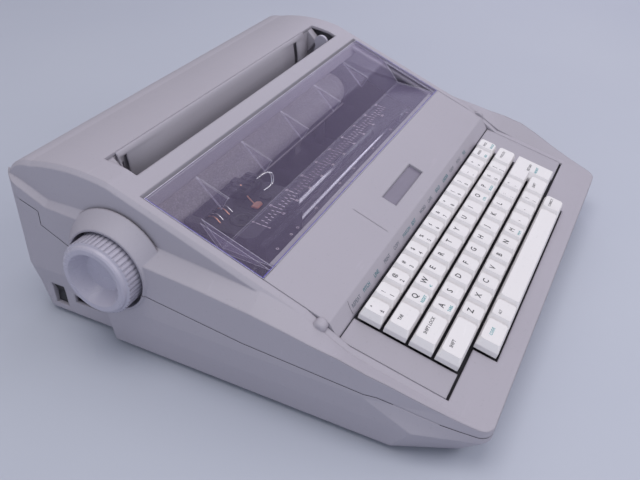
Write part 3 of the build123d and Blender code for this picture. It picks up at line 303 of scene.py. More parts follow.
# %% Rubbers
def rubber(name, colour, speckle=420.0, contrast=2.6):
    finish = Finish(name, colour, 0.78, Specular_IOR_Level=0.3)
    grains = finish.noise(scale=speckle, detail=4.0)
    spots = finish.ramp(grains, (0.45, 0.0), (0.7, 1.0))
    finish.feed("Base Color", finish.blend(spots, colour, tint(colour, contrast)))
    finish.feed("Roughness", 0.7 + grains * 0.2)
    finish.bump(grains, 0.3, 0.00008)
    return finish


platen_rubber = rubber("platen_rubber", (0.25, 0.232, 0.25), 700.0, 1.5)
roller_rubber = rubber("roller_rubber", (0.05, 0.05, 0.05))
belt_rubber = rubber("belt_rubber", (0.02, 0.02, 0.02))
foot_rubber = rubber("foot_rubber", (0.03, 0.03, 0.03))
print("platen finish:", platen_rubber.material.name)

# %% [markdown]
# ## Metals
# Rails are drawn and polished rods, shafts are turned, the frame is rolled sheet with plating.
# Each way of working leaves streaks in one direction. A noise that is stretched along that
# direction, far finer across it than along it, gives them for any metal.

# %% Metals
def metal(name, colour, roughness, streak=(4.0, 900.0, 900.0)):
    finish = Finish(name, colour, roughness, Metallic=1.0)
    streaks = finish.noise(scale=1.0, detail=4.0, stretch=streak)
    finish.feed("Roughness", roughness + (streaks - 0.5) * 0.22)
    finish.feed("Base Color", finish.blend(streaks, tint(colour, 0.86), tint(colour, 1.06)))
    finish.bump(streaks, 0.1, 0.00003)
    return finish


plated_steel = metal("plated_sheet_steel", (0.36, 0.35, 0.36), 0.42, (600.0, 5.0, 600.0))
rail_steel = metal("rail_polished_steel", (0.72, 0.72, 0.73), 0.16)
shaft_steel = metal("shaft_turned_steel", (0.62, 0.62, 0.62), 0.24, (700.0, 8.0, 8.0))
motor_metal = metal("motor_can_steel", (0.42, 0.42, 0.43), 0.3)
screw_steel = metal("screw_zinc_steel", (0.6, 0.6, 0.58), 0.3, (900.0, 900.0, 6.0))
copper = metal("clip_copper", (0.86, 0.44, 0.30), 0.3)
wire_steel = metal("wire_bright_steel", (0.86, 0.86, 0.88), 0.2)
print("materials with the metals:", len(bpy.data.materials))

# %% [markdown]
# ## The circuit board and the display
# The board is green lacquer over copper tracks, which show as a paler pattern: a noise with a
# hard ramp makes long islands of it. The display is a dark plastic window. It has only a faint
# cloudiness and the haze that wiping leaves.

# %% Board and display
def lacquer(name, colour, track_colour):
    finish = Finish(name, colour, 0.32)
    tracks = finish.noise(scale=260.0, detail=1.0, stretch=(1.0, 0.12, 1.0))
    tracks = finish.ramp(tracks, (0.48, 0.0), (0.52, 1.0))
    finish.feed("Base Color", finish.blend(tracks, colour, track_colour))
    finish.bump(tracks, 0.4, 0.00005)
    return finish


def glassy(name, colour):
    finish = Finish(name, colour, 0.18, Specular_IOR_Level=0.5)
    haze = finish.noise(scale=60.0, detail=4.0, stretch=(1.0, 3.0, 1.0))
    finish.feed("Base Color", finish.blend(haze, tint(colour, 0.9), tint(colour, 1.1)))
    finish.feed("Roughness", 0.14 + haze * 0.14)
    return finish


board_green = lacquer("board_green_lacquer", (0.02, 0.12, 0.045), (0.045, 0.21, 0.08))
display_grey = glassy("display_grey_glass", (0.20, 0.18, 0.235))
print("materials so far:", len(bpy.data.materials))

# %% [markdown]
# ## Dressing the model's own parts
# The solids keep their meshes. Only the material in each object's slot changes, which is why the
# slot is linked to the object and not to the mesh. One table says which part wears what, and
# every part that it doesn't name is a key.

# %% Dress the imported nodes
dress = {
    "upper_case": case_grey, "lower_case": case_grey, "front_panel": case_grey,
    "keyboard_frame": shaded_deck_grey, "key_plate": inner_black, "display": display_grey,
    "clear_cover": smoked_clear, "platen": platen_rubber, "platen_shaft": shaft_steel,
    "platen_knob": knob_grey, "platen_gear": gear_white, "feed_pinion": gear_white,
    "drive_motors": motor_metal, "feed_rollers": roller_rubber, "paper_guide": guide_grey,
    "paper_release_lever": knob_grey, "chassis": plated_steel, "guide_rails": rail_steel,
    "carriage": carriage_black, "print_wheel": inner_black, "ribbon_cassette": cassette_black,
    "drive_belt": belt_rubber, "circuit_board": board_green, "rubber_feet": foot_rubber,
    "case_screws": screw_steel, "power_switch": switch_black,
}
for name, node in nodes.items():
    finish = dress.get(name, key_white)
    if not node.data.materials:
        node.data.materials.append(finish.material)
    for slot in node.material_slots:
        slot.link = "OBJECT"
        slot.material = finish.material
print("dressed", len(nodes), "nodes,", len(nodes) - len(dress), "of them keys")

# %% [markdown]
# ## The keyboard plane
# All legends lie on one tilted plane: x counts from the left end of the keys, y points up the
# rows and the third direction stands on the key tops. One matrix takes any place on that plane
# into the frame, so that a legend is placed in key units, as a keyboard maker would do it.

# %% Keyboard plane
key_pitch = 0.01905
keyboard_tilt = math.radians(13.5)
keyboard_origin = (-0.1424, -0.0875, 0.0705)
keyboard = Matrix.Translation(keyboard_origin) @ Matrix.Rotation(keyboard_tilt, 4, "X")
keys_rear_edge = 0.0075


def key_place(row, left):
    """The lower left corner of a key's cell on the keyboard plane."""
    return left * key_pitch, keys_rear_edge - (row + 1) * key_pitch


print("lower left corner of the key A:", [round(v, 4) for v in key_place(2, 1.75)])

# %% [markdown]
# ## What each key says
# The rows are written down as a typist reads them. Each entry holds the node that carries the
# key, the key's left side and width in key units, and its upper and lower legend. A second list
# holds the words that are printed in teal, which name what a key does together with CODE.

# %% Rows of keys
rows = [
    [("number_keys", i, 1.0, top, low) for i, (top, low) in enumerate(
        zip("°!@#$%¢&*()_+", "±1234567890-="))]
    + [("edit_keys", 13, 1.0, "INDEX", ""), ("edit_keys", 14, 1.0, "BACK", "")],
    [("key_tab", 0, 1.5, "TAB", "")]
    + [(f"key_{c.lower()}", 1.5 + i, 1.0, c, "") for i, c in enumerate("QWERTYUIOP")]
    + [("symbol_keys", 11.5, 1.0, "¼", "½"), ("symbol_keys", 12.5, 1.0, "[", "]"),
       ("edit_keys", 13.5, 1.5, "MARGIN", "")],
    [("key_shift_lock", 0, 1.75, "SHIFT LOCK", "")]
    + [(f"key_{c.lower()}", 1.75 + i, 1.0, c, "") for i, c in enumerate("ASDFGHJKL")]
    + [("symbol_keys", 10.75, 1.0, ":", ";"), ("symbol_keys", 11.75, 1.0, "\"", "'"),
       ("key_return", 12.75, 2.25, "RETURN", "")],
    [("modifier_keys", 0, 2.25, "SHIFT", "")]
    + [(f"key_{c.lower()}", 2.25 + i, 1.0, c, "") for i, c in enumerate("ZXCVBNM")]
    + [("symbol_keys", 9.25, 1.0, ",", ""), ("symbol_keys", 10.25, 1.0, ".", ""),
       ("symbol_keys", 11.25, 1.0, "?", "/"), ("modifier_keys", 12.25, 1.5, "SHIFT", "")],
    [("modifier_keys", 3.0, 1.25, "ALT", ""), ("edit_keys", 11.5, 1.25, "CORRECT", "")],
]
teal_words = [
    ("key_q", 1, 1.5, 1.0, "RESET"), ("key_w", 1, 2.5, 1.0, "<"), ("key_o", 1, 9.5, 1.0, "CTR"),
    ("key_p", 1, 10.5, 1.0, "BOLD"), ("key_a", 2, 1.75, 1.0, "TABS"),
    ("key_m", 3, 8.25, 1.0, "MEM"), ("edit_keys", 0, 13.0, 1.0, "REV"),
    ("edit_keys", 0, 14.0, 1.0, "SPACE"), ("key_return", 2, 12.75, 2.25, "INDENT"),
    ("modifier_keys", 4, 1.5, 1.5, "CODE"),
]
print("key caps with black legends:", sum(len(row) for row in rows))

# %% [markdown]
# ## Inks
# Real legends are pad-printed ink a few hundredths of a millimetre thick. The ink is matt, and
# use wears it thin in spots, which a fine noise shows as a paler shade of the same colour.

# %% Inks
def ink(name, colour):
    finish = Finish(name, colour, 0.5)
    worn = finish.ramp(finish.noise(scale=900.0, detail=3.0), (0.62, 0.0), (0.8, 1.0))
    finish.feed("Base Color", finish.blend(worn * 0.5, colour, tint(colour, 1.9)))
    return finish


black_ink = ink("legend_black_ink", (0.03, 0.03, 0.035))
teal_ink = ink("legend_teal_ink", (0.005, 0.30, 0.33))
label_grey_ink = ink("label_grey_ink", (0.13, 0.15, 0.18))
label_teal_ink = ink("label_teal_ink", (0.035, 0.17, 0.20))
pale_ink = ink("scale_pale_ink", (0.50, 0.42, 0.50))
groove_ink = ink("groove_dark_ink", (0.07, 0.065, 0.08))
print("materials with the inks:", len(bpy.data.materials))

# %% [markdown]
# ## Words as flat meshes
# Blender's text objects draw the words, and each is turned into a flat mesh at once, so that it
# can be bent and joined with others. A little offset makes the strokes bolder. The narrow corner
# of an M would fill up with ink if it were bolder, so words with an M go without.

# %% Text to mesh
def curve_mesh(curve):
    """Turns a text or a curve into a mesh, and removes the curve."""
    holder = bpy.data.objects.new(curve.name, curve)
    bpy.context.collection.objects.link(holder)
    bpy.context.view_layer.update()
    depsgraph = bpy.context.evaluated_depsgraph_get()
    mesh = bpy.data.meshes.new_from_object(holder.evaluated_get(depsgraph))
    bpy.data.objects.remove(holder)
    bpy.data.curves.remove(curve)
    return mesh


def text_mesh(words, size, align="LEFT", bold=0.0):
    """The flat mesh of some words that stand on the line y = 0."""
    curve = bpy.data.curves.new("words", "FONT")
    curve.body = words
    curve.size = size
    curve.align_x = align
    curve.offset = 0.0 if "M" in words else bold
    curve.resolution_u = 2
    return curve_mesh(curve)


sample = text_mesh("TAB", 0.0034)
print("faces in the word TAB:", len(sample.polygons))
bpy.data.meshes.remove(sample)

# %% [markdown]
# ## Prints
# All prints of one ink on one body are joined into one piece, which then rides with that body.
# A Print collects points and faces until everything is drawn, and only then becomes an object.
# Without it, every letter would be a piece of its own.

# %% Prints
class Print:
    """Collects flat meshes and becomes one piece."""

    def __init__(self, name, finish, body, slot):
        self.name, self.finish, self.body, self.slot = name, finish, body, slot
        self.points = []
        self.faces = []

    def add(self, mesh, matrix, bend=None):
        start = len(self.points)
        for vertex in mesh.vertices:
            place = bend(*vertex.co) if bend else vertex.co
            self.points.append(matrix @ Vector(place))
        self.faces += [[start + i for i in face.vertices] for face in mesh.polygons]
        bpy.data.meshes.remove(mesh)

    def strip(self, corners):
        start = len(self.points)
        self.points += [Vector(corner) for corner in corners]
        self.faces.append(list(range(start, start + len(corners))))

    def finish_piece(self):
        mesh = bpy.data.meshes.new(self.name)
        mesh.from_pydata(self.points, [], self.faces)
        mesh.materials.append(self.finish.material)
        piece = bpy.data.objects.new(self.name, mesh)
        bpy.context.collection.objects.link(piece)
        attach(piece, self.body)
        return piece


prints = {}


def print_on(body, finish, tag, slot="key_plastic"):
    """The print of one kind on one body, made when it is first needed."""
    key = (body, tag)
    if key not in prints:
        prints[key] = Print(f"{tag}_{body}", finish, body, slot)
    return prints[key]


print("prints so far:", len(prints))

# %% [markdown]
# ## Legends on dished keys
# Most key tops are hollowed across by less than a millimetre, as a part of a large cylinder. A
# flat legend would float over the middle of such a dish, so every point of its mesh is lowered
# to the arc. The top of the return key is flat, and its legend stays so.

# %% One legend
dish_depth = 0.0007
cap_slopes, column_gap = 0.0055, 0.00055
legend_rise = 0.00006
bold_share = 0.016
moved_legends = {"RETURN": (0.0130, -0.0080), "INDENT": (0.0164, -0.0080),
                 "CODE": (0.0036, 0.0062)}


def legend(node, row, left, width, words, size, shift, finish, tag):
    """Prints words on a key top; the shift counts from the lower left corner of its cell."""
    x, y = key_place(row, left)
    extra = moved_legends.get(words, (0.0, 0.0))
    shift_x, shift_y = shift[0] + extra[0], shift[1] + extra[1]
    middle = width * key_pitch / 2
    span = width * key_pitch - cap_slopes - column_gap
    radius = span * span / (8 * dish_depth) + dish_depth / 2

    def bend(px, py, pz):
        across = px + shift_x - middle
        sunk = radius - dish_depth - math.sqrt(max(0.0, radius * radius - across * across))
        return px, py, (0.0 if node == "key_return" else sunk) + legend_rise

    matrix = keyboard @ Matrix.Translation((x + shift_x, y + shift_y, 0.0))
    mesh = text_mesh(words, size, bold=size * bold_share)
    print_on(f"body_{node}", finish, tag).add(mesh, matrix, bend)


print("deepest point of a dish:", dish_depth)

# %% [markdown]
# ## Sizes and places of the legends
# Letters are the largest, paired signs are smaller, and words are the smallest. The margins were
# read from the photograph against the left side and the front of each key. Words on keys that
# are one unit wide have to be smaller still, or they would run over the edge of the top.

# %% Legends on the keys
left_margin, teal_margin = 0.0067, 0.0062
letter_size, letter_line = 0.0064, 0.0093
digit_size, upper_line, lower_line = 0.0046, 0.0107, 0.0041
word_size, word_margin, word_line = 0.0034, 0.0085, 0.0108
narrow_word_size, narrow_margin = 0.0029, 0.0056
widest_narrow_key = 1.3
teal_size, teal_line = 0.0031, 0.0040

for row_number, row in enumerate(rows):
    for node, left, width, top, low in row:
        if low:
            marks = [(top, digit_size, (left_margin, upper_line)),
                     (low, digit_size, (left_margin, lower_line))]
        elif len(top) == 1:
            marks = [(top, letter_size, (left_margin, letter_line))]
        elif width > widest_narrow_key:
            marks = [(top, word_size, (word_margin, word_line))]
        else:
            marks = [(top, narrow_word_size, (narrow_margin, word_line))]
        for words, size, shift in marks:
            legend(node, row_number, left, width, words, size, shift, black_ink, "legend")
for node, row_number, left, width, words in teal_words:
    size = teal_size if len(words) > 1 else digit_size
    shift = (teal_margin, teal_line)
    legend(node, row_number, left, width, words, size, shift, teal_ink, "teal")
print("key prints:", len(prints))

# %% [markdown]
# ## Labels on the strip
# Over the top row of keys the panel turns down in a slanted strip. It names the second job of
# each key in grey and teal. The words here are plain ones that any such machine has. They lie on
# the strip's own plane, which starts at the panel's front edge, and they are printed a key pitch
# apart, so that every word stands over its key.

# %% Strip labels
panel_low, panel_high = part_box("front_panel")
case_middle = (panel_low.x + panel_high.x) / 2
strip_height, strip_length = 0.0626, 0.01276
strip_foot = Vector((case_middle, panel_low.y, strip_height))
strip_slant = math.radians(56.5)
strip = Matrix.Translation(strip_foot) @ Matrix.Rotation(strip_slant, 4, "X")
ink_rise = 0.00005
label_size, label_bold, label_line, label_inset = 0.0040, 0.00006, 0.0045, 0.0042
first_label = keyboard_origin[0] - case_middle + label_inset
labels = ("REPEAT", "PITCH", "LINE", "PRINT", "COPY", "MARGIN", "EDIT", "WORD", "CAPS",
          "BOLD", "UNDER", "FORM", "MENU", "FILE")
for i, words in enumerate(labels):
    teal = i % 4 in (1, 2)
    finish, tag = (label_teal_ink, "strip_teal") if teal else (label_grey_ink, "strip_grey")
    place = Matrix.Translation((first_label + i * key_pitch, label_line, ink_rise))
    mesh = text_mesh(words, label_size, bold=label_bold)
    print_on("cover", finish, tag, "case_plastic").add(mesh, strip @ place)
print("labels on the strip:", len(labels))

# %% [markdown]
# ## The curved mark beside the labels
# A thin dark groove closes the row of labels at its left end. It leans to the right as it
# climbs, faster towards its top, which a cubic of the height gives.

# %% Groove
groove = print_on("cover", groove_ink, "strip_groove", "case_plastic")
groove_x, groove_width, groove_lean = -0.1486, 0.00045, 0.0016
groove_foot, groove_margins = 0.0016, 0.0030
groove_rise = strip_length - groove_margins
groove_steps = 8


def groove_station(share):
    """The left and right end of the groove at a share of its height."""
    up = groove_foot + share * groove_rise
    x = groove_x + groove_lean * share ** 3
    return [strip @ Vector((x + side, up, ink_rise)) for side in (0.0, groove_width)]


for i in range(groove_steps):
    (a, b), (d, c) = groove_station(i / groove_steps), groove_station((i + 1) / groove_steps)
    groove.strip((a, b, c, d))
print("groove length:", round(groove_rise, 4))

# %% [markdown]
# ## The scale on the cover
# The front sheet of the cover carries a printed scale, which shows the typist how far along the
# line the carriage stands: a comb of ticks for ten letters to the inch, one for twelve, and
# their numbers. Every tick is a flat strip of ink that a loop lays along the sheet.

# %% Printed scale
cover_low, cover_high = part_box("clear_cover")
sheet_front, sheet_rear, sheet_run = 0.09164, 0.09420, 0.0399
sheet_foot = Vector((case_middle, cover_low.y, sheet_front))
sheet_tilt = math.atan2(sheet_rear - sheet_front, sheet_run)
sheet = Matrix.Translation(sheet_foot) @ Matrix.Rotation(sheet_tilt, 4, "X")
scale = print_on("cover", pale_ink, "scale", "smoked_clear")
inch = 0.0254
comb_start = -0.122
tick_width, short_tick, long_tick = 0.00055, 0.0024, 0.0042
number_size, number_bold, number_above, number_below = 0.0031, 0.00003, 0.0050, 0.0070


def tick(x, y0, y1):
    half = tick_width / 2
    corners = ((x - half, y0), (x + half, y0), (x + half, y1), (x - half, y1))
    scale.strip([sheet @ Vector((*corner, ink_rise)) for corner in corners])


def comb(letters_per_inch, foot, direction, letters):
    """Ticks for every second letter, longer at every tenth, with the numbers at their ends."""
    for letter in range(0, letters + 1, 2):
        x = comb_start + letter * inch / letters_per_inch
        tenth = letter % 10 == 0
        tick(x, *sorted((foot, foot + direction * (long_tick if tenth else short_tick))))
        if tenth:
            line = foot + number_above if direction > 0 else foot - number_below
            place = Matrix.Translation((x, line, ink_rise))
            scale.add(text_mesh(str(letter), number_size, "CENTER", number_bold), sheet @ place)


comb(10, 0.0318, 1, 90)
comb(12, 0.0306, -1, 108)
print("faces in the scale:", len(scale.faces))

# %% [markdown]
# ## Marks for the tab stops
# A row of small rings near the front edge of the sheet marks the usual tab stops. A ring is a
# closed band of short strips. With this the printing is done, and every Print becomes a piece.

# %% Rings, and all prints as pieces
ring_steps = 14
ring_radius, ring_hole, ring_line = 0.0011, 0.7, 0.0078
ring_places = (-0.1406, -0.1205, -0.1106, -0.0807, -0.039, -0.012, 0.028, 0.069, 0.11)
for x in ring_places:
    for step in range(ring_steps):
        corners = []
        for turn, share in ((step, ring_hole), (step, 1.0), (step + 1, 1.0),
                            (step + 1, ring_hole)):
            angle = 2 * math.pi * turn / ring_steps
            out = ring_radius * share
            corners.append(sheet @ Vector((x + out * math.cos(angle),
                                           ring_line + out * math.sin(angle), ink_rise)))
        scale.strip(corners)
for piece in prints.values():
    piece.finish_piece()
print("printed pieces:", len(prints))

# %% [markdown]
# ## The painted glow at the rim of the cover
# Light that is caught inside a tinted sheet leaves it at its cut edge, where it looks far bluer
# than the sheet itself. A narrow violet strip along the two ends and the front of the cover
# paints that glow. Rays that fall on the cover from above find the height of its surface at each
# station.

# %% Rim of the cover
# Painted glow: a violet strip, made with the ink recipe, stands in for the light that leaves the
# cover's cut edge.
painted_rim_glow = ink("cover_rim_violet", (0.10, 0.08, 0.36))
cover_skin = BVHTree.FromObject(nodes["clear_cover"], bpy.context.evaluated_depsgraph_get())
rim = Print("cover_rim", painted_rim_glow, "cover", "smoked_clear")
rim_outer, rim_inner = 0.0003, 0.0009
rim_steps = 40
largest_step_up = 0.004
upright = Vector((0.0, 0.0, 1.0))
above_cover = cover_high.z + 0.01


def on_cover(x, y):
    """The place on top of the cover there, or None beside it."""
    found = cover_skin.ray_cast(Vector((x, y, above_cover)), -upright)[0]
    return found + upright * ink_rise if found else None


def rim_strip(stations):
    """Joins neighbouring stations, each an outer and an inner place, that lie on the cover."""
    ends = [[on_cover(*place) for place in station] for station in stations]
    for (a, b), (d, c) in zip(ends, ends[1:]):
        if None not in (a, b, c, d) and abs(a.z - d.z) < largest_step_up:
            rim.strip((a, b, c, d))


def along(low, high):
    """Even places from one end to the other, a little inside both."""
    reach = high - low - 2 * rim_outer
    return [low + rim_outer + reach * i / rim_steps for i in range(rim_steps + 1)]


for end, inward in ((cover_low.x, 1), (cover_high.x, -1)):
    rim_strip([((end + inward * rim_outer, y), (end + inward * rim_inner, y))
               for y in along(cover_low.y, cover_high.y)])
rim_strip([((x, cover_low.y + rim_outer), (x, cover_low.y + rim_inner))
           for x in along(cover_low.x, cover_high.x)])
rim.finish_piece()
print("rim strips:", len(rim.faces))

# %% [markdown]
# ## The mouth of the paper slot
# Behind the platen bar the top of the case rolls over and leads the sheet down to the platen.
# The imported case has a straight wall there, so this sheet gives the wall its rounded lip. It is
# a grid of faces between a few stations across the machine and a smooth profile, with faces left
# out where the real wall is notched for the paper fingers. It ends before the release lever.

# %% Paper chute
def shaped(name, points, faces, finish, body, thickness=0.0):
    """A smooth piece from points and faces, thickened if it is a sheet."""
    mesh = bpy.data.meshes.new(name)
    mesh.from_pydata(points, [], faces)
    mesh.materials.append(finish.material)
    for face in mesh.polygons:
        face.use_smooth = True
    piece = bpy.data.objects.new(name, mesh)
    bpy.context.collection.objects.link(piece)
    if thickness:
        solid = piece.modifiers.new("thickness", "SOLIDIFY")
        solid.thickness = thickness
        solid.offset = -1.0
    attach(piece, body)
    return piece


slot_rear, lip_top = 0.1123, 0.1378
lip_run, lip_drop, lip_slope = 0.0050, 0.0245, 0.003
chute_thickness = 0.0012
profile_steps = 12
stations = (-0.1485, -0.1465, -0.1395, -0.09, -0.045, 0.0, 0.045, 0.09, 0.1145, 0.1215, 0.1385)
notched_bays = (1, 8)
notch_start = 4

chute_profile = []
for step in range(profile_steps + 1):
    share = step / profile_steps
    angle = share * math.pi / 2
    chute_profile.append((slot_rear - lip_run * math.sin(angle),
                          lip_top - lip_drop * (1 - math.cos(angle)) - lip_slope * share))
points = [Vector((case_middle + x, y, z)) for x in stations for y, z in chute_profile]
count = len(chute_profile)
faces = [(i * count + k, i * count + k + 1, (i + 1) * count + k + 1, (i + 1) * count + k)
         for i in range(len(stations) - 1) for k in range(count - 1)
         if i not in notched_bays or k < notch_start]
shaped("paper_chute", points, faces, case_grey, "case", chute_thickness)
print("chute faces:", len(faces))

# %% [markdown]
# ## The seam between the case halves
# The two halves of the case meet in a fine dark line all round the flanks. In the model they
# touch, so their meshes share the edges of that joint. The code looks for those shared edges,
# keeps the ones that nothing hides from outside, and lays a thin dark strip along each.

# %% Edges that both halves share
same_place = 0.00002
upper, lower = nodes["upper_case"], nodes["lower_case"]
finder = KDTree(len(lower.data.vertices))
for vertex in lower.data.vertices:
    finder.insert(vertex.co, vertex.index)
finder.balance()
joint_edges = []
for edge in upper.data.edges:
    ends = [upper.data.vertices[i].co for i in edge.vertices]
    if all(finder.find(end)[2] <= same_place for end in ends):
        joint_edges.append(ends)
print("shared edges:", len(joint_edges))

# %% The way out
flank_share = 0.75


def outward(place):
    """The direction away from the machine at a place on its flanks, front or rear."""
    half_width = (model_box[1].x - model_box[0].x) / 2
    if abs(place.x - case_middle) > half_width * flank_share:
        return Vector((math.copysign(1.0, place.x - case_middle), 0.0, 0.0))
    return Vector((0.0, math.copysign(1.0, place.y), 0.0))


print("outward at the left flank:", tuple(outward(model_box[0])))

# %% Case seam
seam_half_width, seam_rise = 0.00022, 0.00004
probe_start, probe_reach, probe_height, nearest_skin = 0.0006, 0.01, 0.0008, 0.004
depsgraph = bpy.context.evaluated_depsgraph_get()
skins = [BVHTree.FromObject(half, depsgraph) for half in (upper, lower)]
seam_points, seam_faces = [], []
for ends in joint_edges:
    middle = (ends[0] + ends[1]) / 2
    away = outward(middle)
    if any(skin.ray_cast(middle + away * probe_start, away)[0] for skin in skins):
        continue
    outside = middle + away * probe_reach + upright * probe_height
    found, normal = skins[0].ray_cast(outside, -away)[:2]
    if found is None or (found - middle).length > nearest_skin:
        continue
    side = normal.cross((ends[1] - ends[0]).normalized()) * seam_half_width
    near, far = (end + normal * seam_rise for end in ends)
    start = len(seam_points)
    seam_points += [near - side, near + side, far + side, far - side]
    seam_faces.append((start, start + 1, start + 2, start + 3))
if seam_faces:
    shaped("case_seam", seam_points, seam_faces, groove_ink, "case")
print("seam edges:", len(seam_faces))

# %% [markdown]
# ## Parts on the carriage
# Through the clear cover the carriage is a dark tangle: the hammer's solenoid behind the ribbon
# cassette, a copper contact clip, bright wire levers that lift the correction tape, and the
# wind-up wheel of the ribbon. They are small, but they make the window worth looking into. All
# of them stand on the cassette's lid, so its height and front edge are read from the model first.

# %% Places on the carriage
tape_low, tape_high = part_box("ribbon_cassette")
wheel_low, wheel_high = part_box("print_wheel")
winder_boss = 0.0014
lid = tape_high.z - winder_boss
carriage_x = (wheel_low.x + wheel_high.x) / 2
tape_front = tape_low.y
solenoid_y = tape_front + 0.031


def settle(piece, finish, body):
    """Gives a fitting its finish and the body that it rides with."""
    piece.data.materials.append(finish.material)
    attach(piece, body)


print("carriage at", round(carriage_x, 4), "with its lid at", round(lid, 4))

# %% [markdown]
# ## The ribbon winder
# The ribbon is wound tight by a small wheel on the cassette. A wheel could be a cylinder with
# cuts, but turning its profile round an axis, as a lathe does, gives hub, groove and rim at once.

# %% Winder
def turned(name, profile, place, steps=32):
    """Turns a profile of (radius, height) points round the upright axis through a place."""
    points = []
    for i in range(steps):
        angle = 2 * math.pi * i / steps
        points += [Vector(place) + Vector((radius * math.cos(angle), radius * math.sin(angle),
                                           height)) for radius, height in profile]
    count = len(profile)
    faces = []
    for i in range(steps):
        for k in range(count - 1):
            here, there = i * count + k, (i + 1) % steps * count + k
            faces.append((here, there, there + 1, here + 1))
    mesh = bpy.data.meshes.new(name)
    mesh.from_pydata(points, [], faces)
    welded = bmesh.new()
    welded.from_mesh(mesh)
    bmesh.ops.remove_doubles(welded, verts=welded.verts, dist=1e-6)
    bmesh.ops.recalc_face_normals(welded, faces=welded.faces)
    welded.to_mesh(mesh)
    welded.free()
    piece = bpy.data.objects.new(name, mesh)
    bpy.context.collection.objects.link(piece)
    return piece


winder_radius = 0.0095
winder_profile = ((0.0, 0.0012), (0.0022, 0.0012), (0.0022, 0.0005), (0.0050, 0.0005),
                  (0.0055, 0.0011), (winder_radius - 0.0008, 0.0011), (winder_radius, 0.0006),
                  (winder_radius, 0.0))
winder_place = (carriage_x - 0.018, tape_front + 0.021, lid)
winder = turned("ribbon_winder", winder_profile, winder_place)
settle(winder, switch_black, "print_carriage")
print("winder faces:", len(winder.data.polygons))

# %% [markdown]
# ## The label and the hammer
# The cassette's label is a thin plate. Behind it the solenoid of the hammer sits in a ribbed
# housing. Each is an outline that is pushed up to a thickness and then bevelled, because pressed
# and moulded parts have no sharp edges.

# %% Slabs
def slab(name, outline, low, high, edge):
    """A solid from an (x, y) outline between two heights, with rounded edges."""
    shape = bmesh.new()
    bottom = shape.faces.new([shape.verts.new((x, y, low)) for x, y in outline])
    for part in bmesh.ops.extrude_face_region(shape, geom=[bottom])["geom"]:
        if isinstance(part, bmesh.types.BMVert):
            part.co.z = high
    bmesh.ops.recalc_face_normals(shape, faces=shape.faces)
    bmesh.ops.bevel(shape, geom=list(shape.edges), offset=edge, segments=2, affect="EDGES")
    mesh = bpy.data.meshes.new(name)
    shape.to_mesh(mesh)
    shape.free()
    piece = bpy.data.objects.new(name, mesh)
    bpy.context.collection.objects.link(piece)
    return piece


def block(x0, x1, y0, y1):
    return ((x0, y0), (x1, y0), (x1, y1), (x0, y1))


label_outline = block(carriage_x - 0.004, carriage_x + 0.010,
                      tape_front + 0.005, tape_front + 0.034)
label_plate = slab("cassette_label", label_outline, lid, lid + 0.0003, 0.0001)
settle(label_plate, carriage_black, "print_carriage")
print("label faces:", len(label_plate.data.polygons))

# %% Housing and fins of the hammer
housing_outline = [(carriage_x + x, solenoid_y + y) for x, y in (
    (0.006, 0.0), (0.030, 0.0), (0.034, 0.004), (0.034, 0.016), (0.004, 0.016), (0.004, 0.004))]
housing = slab("hammer_housing", housing_outline, lid + 0.0002, lid + 0.0078, 0.0008)
settle(housing, carriage_black, "print_carriage")

fin_count, first_fin, fin_pitch, fin_width = 4, 0.0085, 0.0062, 0.0016
for i in range(fin_count):
    x = carriage_x + first_fin + i * fin_pitch
    fin_outline = block(x, x + fin_width, solenoid_y + 0.002, solenoid_y + 0.0145)
    fin = slab(f"hammer_fin_{i + 1}", fin_outline, lid + 0.0076, lid + 0.0094, 0.0003)
    settle(fin, cassette_black, "print_carriage")
print("fins on the housing:", fin_count)

# %% [markdown]
# ## Copper and wire
# A copper clip takes the current to the hammer over a springy rod, two bright wire levers lift
# the correction tape, and a loom of five short wires leaves the carriage at its left. A wire is
# a curve with a round section, turned into a mesh at once. Its curve passes near the given
# points and not through them, so it bends as softly as real wire.

# %% Copper clip
clip_x, clip_y = carriage_x + 0.003, tape_front + 0.017
clip_outline = [(clip_x + x, clip_y + y) for x, y in (
    (-0.005, 0.0), (0.003, 0.0), (0.005, 0.003), (0.003, 0.006), (-0.005, 0.006))]
clip = slab("contact_clip", clip_outline, lid + 0.0004, lid + 0.0022, 0.0005)
settle(clip, copper, "print_carriage")
print("faces in the clip:", len(clip.data.polygons))

# %% Wires
def wire(name, points, radius):
    """A round wire along some points, as a mesh."""
    curve = bpy.data.curves.new(name, "CURVE")
    curve.dimensions = "3D"
    curve.bevel_depth = radius
    curve.bevel_resolution = 3
    curve.use_fill_caps = True
    spline = curve.splines.new("NURBS")
    spline.points.add(len(points) - 1)
    for point, place in zip(spline.points, points):
        point.co = (*place, 1.0)
    spline.order_u = 3
    spline.use_endpoint_u = True
    mesh = curve_mesh(curve)
    for face in mesh.polygons:
        face.use_smooth = True
    piece = bpy.data.objects.new(name, mesh)
    bpy.context.collection.objects.link(piece)
    return piece


def placed(origin, offsets):
    """Points given from an origin, in the frame."""
    return [Vector(origin) + Vector(offset) for offset in offsets]


rod_radius = 0.0006
rod_path = placed((clip_x, clip_y, lid), (
    (-0.001, 0.004, 0.0016), (0.001, 0.009, 0.0028), (0.005, 0.016, 0.0040),
    (0.009, 0.023, 0.0086)))
rod = wire("contact_spring", rod_path, rod_radius)
settle(rod, copper, "print_carriage")
print("faces in the springy rod:", len(rod.data.polygons))

